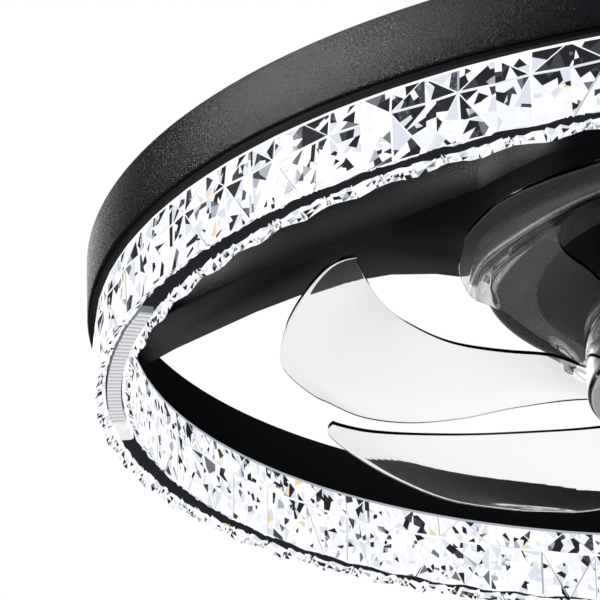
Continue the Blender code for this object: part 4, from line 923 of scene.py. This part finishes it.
MATT_LIGHT = 0.65
INSIDE_GLASS = 0.3
DARK_LEVEL = 0.01
SOFT_PATCHES = (
    ((-0.2, 0.88, 0.42), 0.92, 0.99, 1.6),
    ((-0.92, -0.12, 0.38), 0.9, 0.985, 0.6),
    ((0.0, 0.25, -0.97), 0.2, 0.9, 0.12),
    ((0.28, -0.28, 0.92), 0.4, 1.0, 0.4),
)


def swung(first, second, angle):
    """Two square directions turned in their own plane."""
    return (
        first * math.cos(angle) - second * math.sin(angle),
        first * math.sin(angle) + second * math.cos(angle),
    )


def make_camera():
    """The reference view: from below, turned to the left of the axis. Lengths in ring radii."""
    distance, lift = 5.759, 0.366
    pan, tilt, roll = -0.121, 0.031, 0.074
    place = Vector((0.0, -distance * math.cos(lift), -distance * math.sin(lift)))
    forward = -place.normalized()
    right = forward.cross(Vector(AXIS)).normalized()
    upward = right.cross(forward)
    right, forward = swung(right, forward, pan)
    upward, forward = swung(upward, forward, tilt)
    right, upward = swung(right, upward, roll)
    data = bpy.data.cameras.new("camera")
    camera = put_in_scene("camera", data)
    turn = Matrix((right, upward, -forward)).transposed().to_4x4()
    foot = Vector((0.0, 0.0, up(0.0)))
    camera.matrix_world = Matrix.Translation(place * RING_RADIUS + foot) @ turn
    data.sensor_width = SENSOR
    data.lens = LENS_PIXELS / FRAME_PIXELS * SENSOR
    data.shift_x = (FRAME_PIXELS / 2 - LENS_CENTRE[0]) / FRAME_PIXELS
    data.shift_y = (LENS_CENTRE[1] - FRAME_PIXELS / 2) / FRAME_PIXELS
    data.clip_start = 0.05
    data.clip_end = 50.0
    bpy.context.scene.camera = camera


def seen_directly(finish):
    """Three signals of 0 or 1: seen straight or through glass, off gloss, and from inside glass."""
    path = finish.tree.nodes.new("ShaderNodeLightPath")
    camera = Wire(finish, path.outputs["Is Camera Ray"])
    glossy = Wire(finish, path.outputs["Glossy Depth"]).math("MINIMUM", 1.0)
    through = Wire(finish, path.outputs["Is Transmission Ray"])
    return camera.math("MAXIMUM", through * (1.0 - glossy)), glossy, through * glossy


def make_world():
    """White surroundings. Gloss sees a dark studio with soft bright patches in their place."""
    world = bpy.data.worlds.new("studio")
    bpy.context.scene.world = world
    studio = Finish("studio", world)
    direct, glossy, inside = seen_directly(studio)
    where = studio.node("ShaderNodeTexCoord", output="Generated")

    def towards(direction, start, full, level):
        """A patch about a direction, from nothing at one cosine to its full level at another."""
        lean = studio.node(
            "ShaderNodeVectorMath",
            {"operation": "DOT_PRODUCT"},
            {0: where, 1: Vector(direction).normalized()},
            output="Value",
        )
        values = {
            "Value": lean,
            "From Min": start,
            "From Max": full,
            "To Min": 0.0,
            "To Max": level,
        }
        return studio.node("ShaderNodeMapRange", {"interpolation_type": "SMOOTHSTEP"}, values)

    shade = towards(*SOFT_PATCHES[0])
    for patch in SOFT_PATCHES[1:]:
        shade = shade + towards(*patch)
    shade = shade + DARK_LEVEL
    indirect = glossy * shade + inside * INSIDE_GLASS + (1.0 - glossy) * MATT_LIGHT
    level = direct + (1.0 - direct) * indirect
    background = studio.tree.nodes["Background"]
    background.inputs["Color"].default_value = (1.0, 1.0, 1.0, 1.0)
    studio.feed(background.inputs["Strength"], level)
    bpy.context.scene.view_settings.view_transform = "Standard"


def make_floor():
    """Plain pale floor, far below, which looks white to the camera and nearly black to gloss."""
    nothing_selected()
    bpy.ops.mesh.primitive_plane_add(size=40.0, location=(0.0, 0.0, -8.0))
    floor = bpy.context.object
    floor.name = "floor"
    pale = Finish("floor_finish")
    direct, glossy, inside = seen_directly(pale)
    pale.set(Base_Color=(0.8, 0.8, 0.79, 1.0), Roughness=0.7)
    colour = direct + glossy * 0.04 + inside * INSIDE_GLASS
    glow = pale.node("ShaderNodeEmission", values={"Color": colour, "Strength": 1.0})
    share = direct.math("MAXIMUM", glossy) * 0.9
    base = Wire(pale, pale.shader.outputs[0])
    both = pale.node("ShaderNodeMixShader", values={0: share, 1: base, 2: glow})
    pale.tree.links.new(both.socket, pale.tree.nodes["Material Output"].inputs["Surface"])
    floor.data.materials.append(pale.block)


def make_lamp(name, place, target, size, power):
    """A soft rectangular lamp."""
    data = bpy.data.lights.new(name, "AREA")
    data.shape = "RECTANGLE"
    data.size, data.size_y = size
    data.energy = power
    lamp = put_in_scene(name, data)
    lamp.location = place
    aim = Vector(target) - Vector(place)
    lamp.rotation_euler = aim.to_track_quat("-Z", "Y").to_euler()


finish_nodes()
make_ring_housing()
make_ring_base()
crystal_ring(
    "crystal_ring_outer_cut", "crystal_ring_outer", front=248.2, back=243.8, top=25.6,
    seed=3, smallest=7.0, top_tone=0.8, gloom=1.0,
)
# The inner ring's painted light is darker at the top: a dim top band and dark upper facets, painted
# reflections of the black housing; gloom 0.5 halves its other dark facets.
crystal_ring(
    "crystal_ring_inner_cut", "crystal_ring_inner", front=234.3, back=238.0, top=29.0,
    seed=8, smallest=5.0, top_tone=0.31, gloom=0.5,
)
make_ribbed_strips()
make_arms()
make_canopy()
make_motor_cover()
make_hub()
make_blades()
make_camera()
make_world()
make_floor()
make_lamp("key_lamp", (-2.2, -0.62, 0.85), (-0.15, -0.15, -0.05), (0.4, 0.3), 26.0)
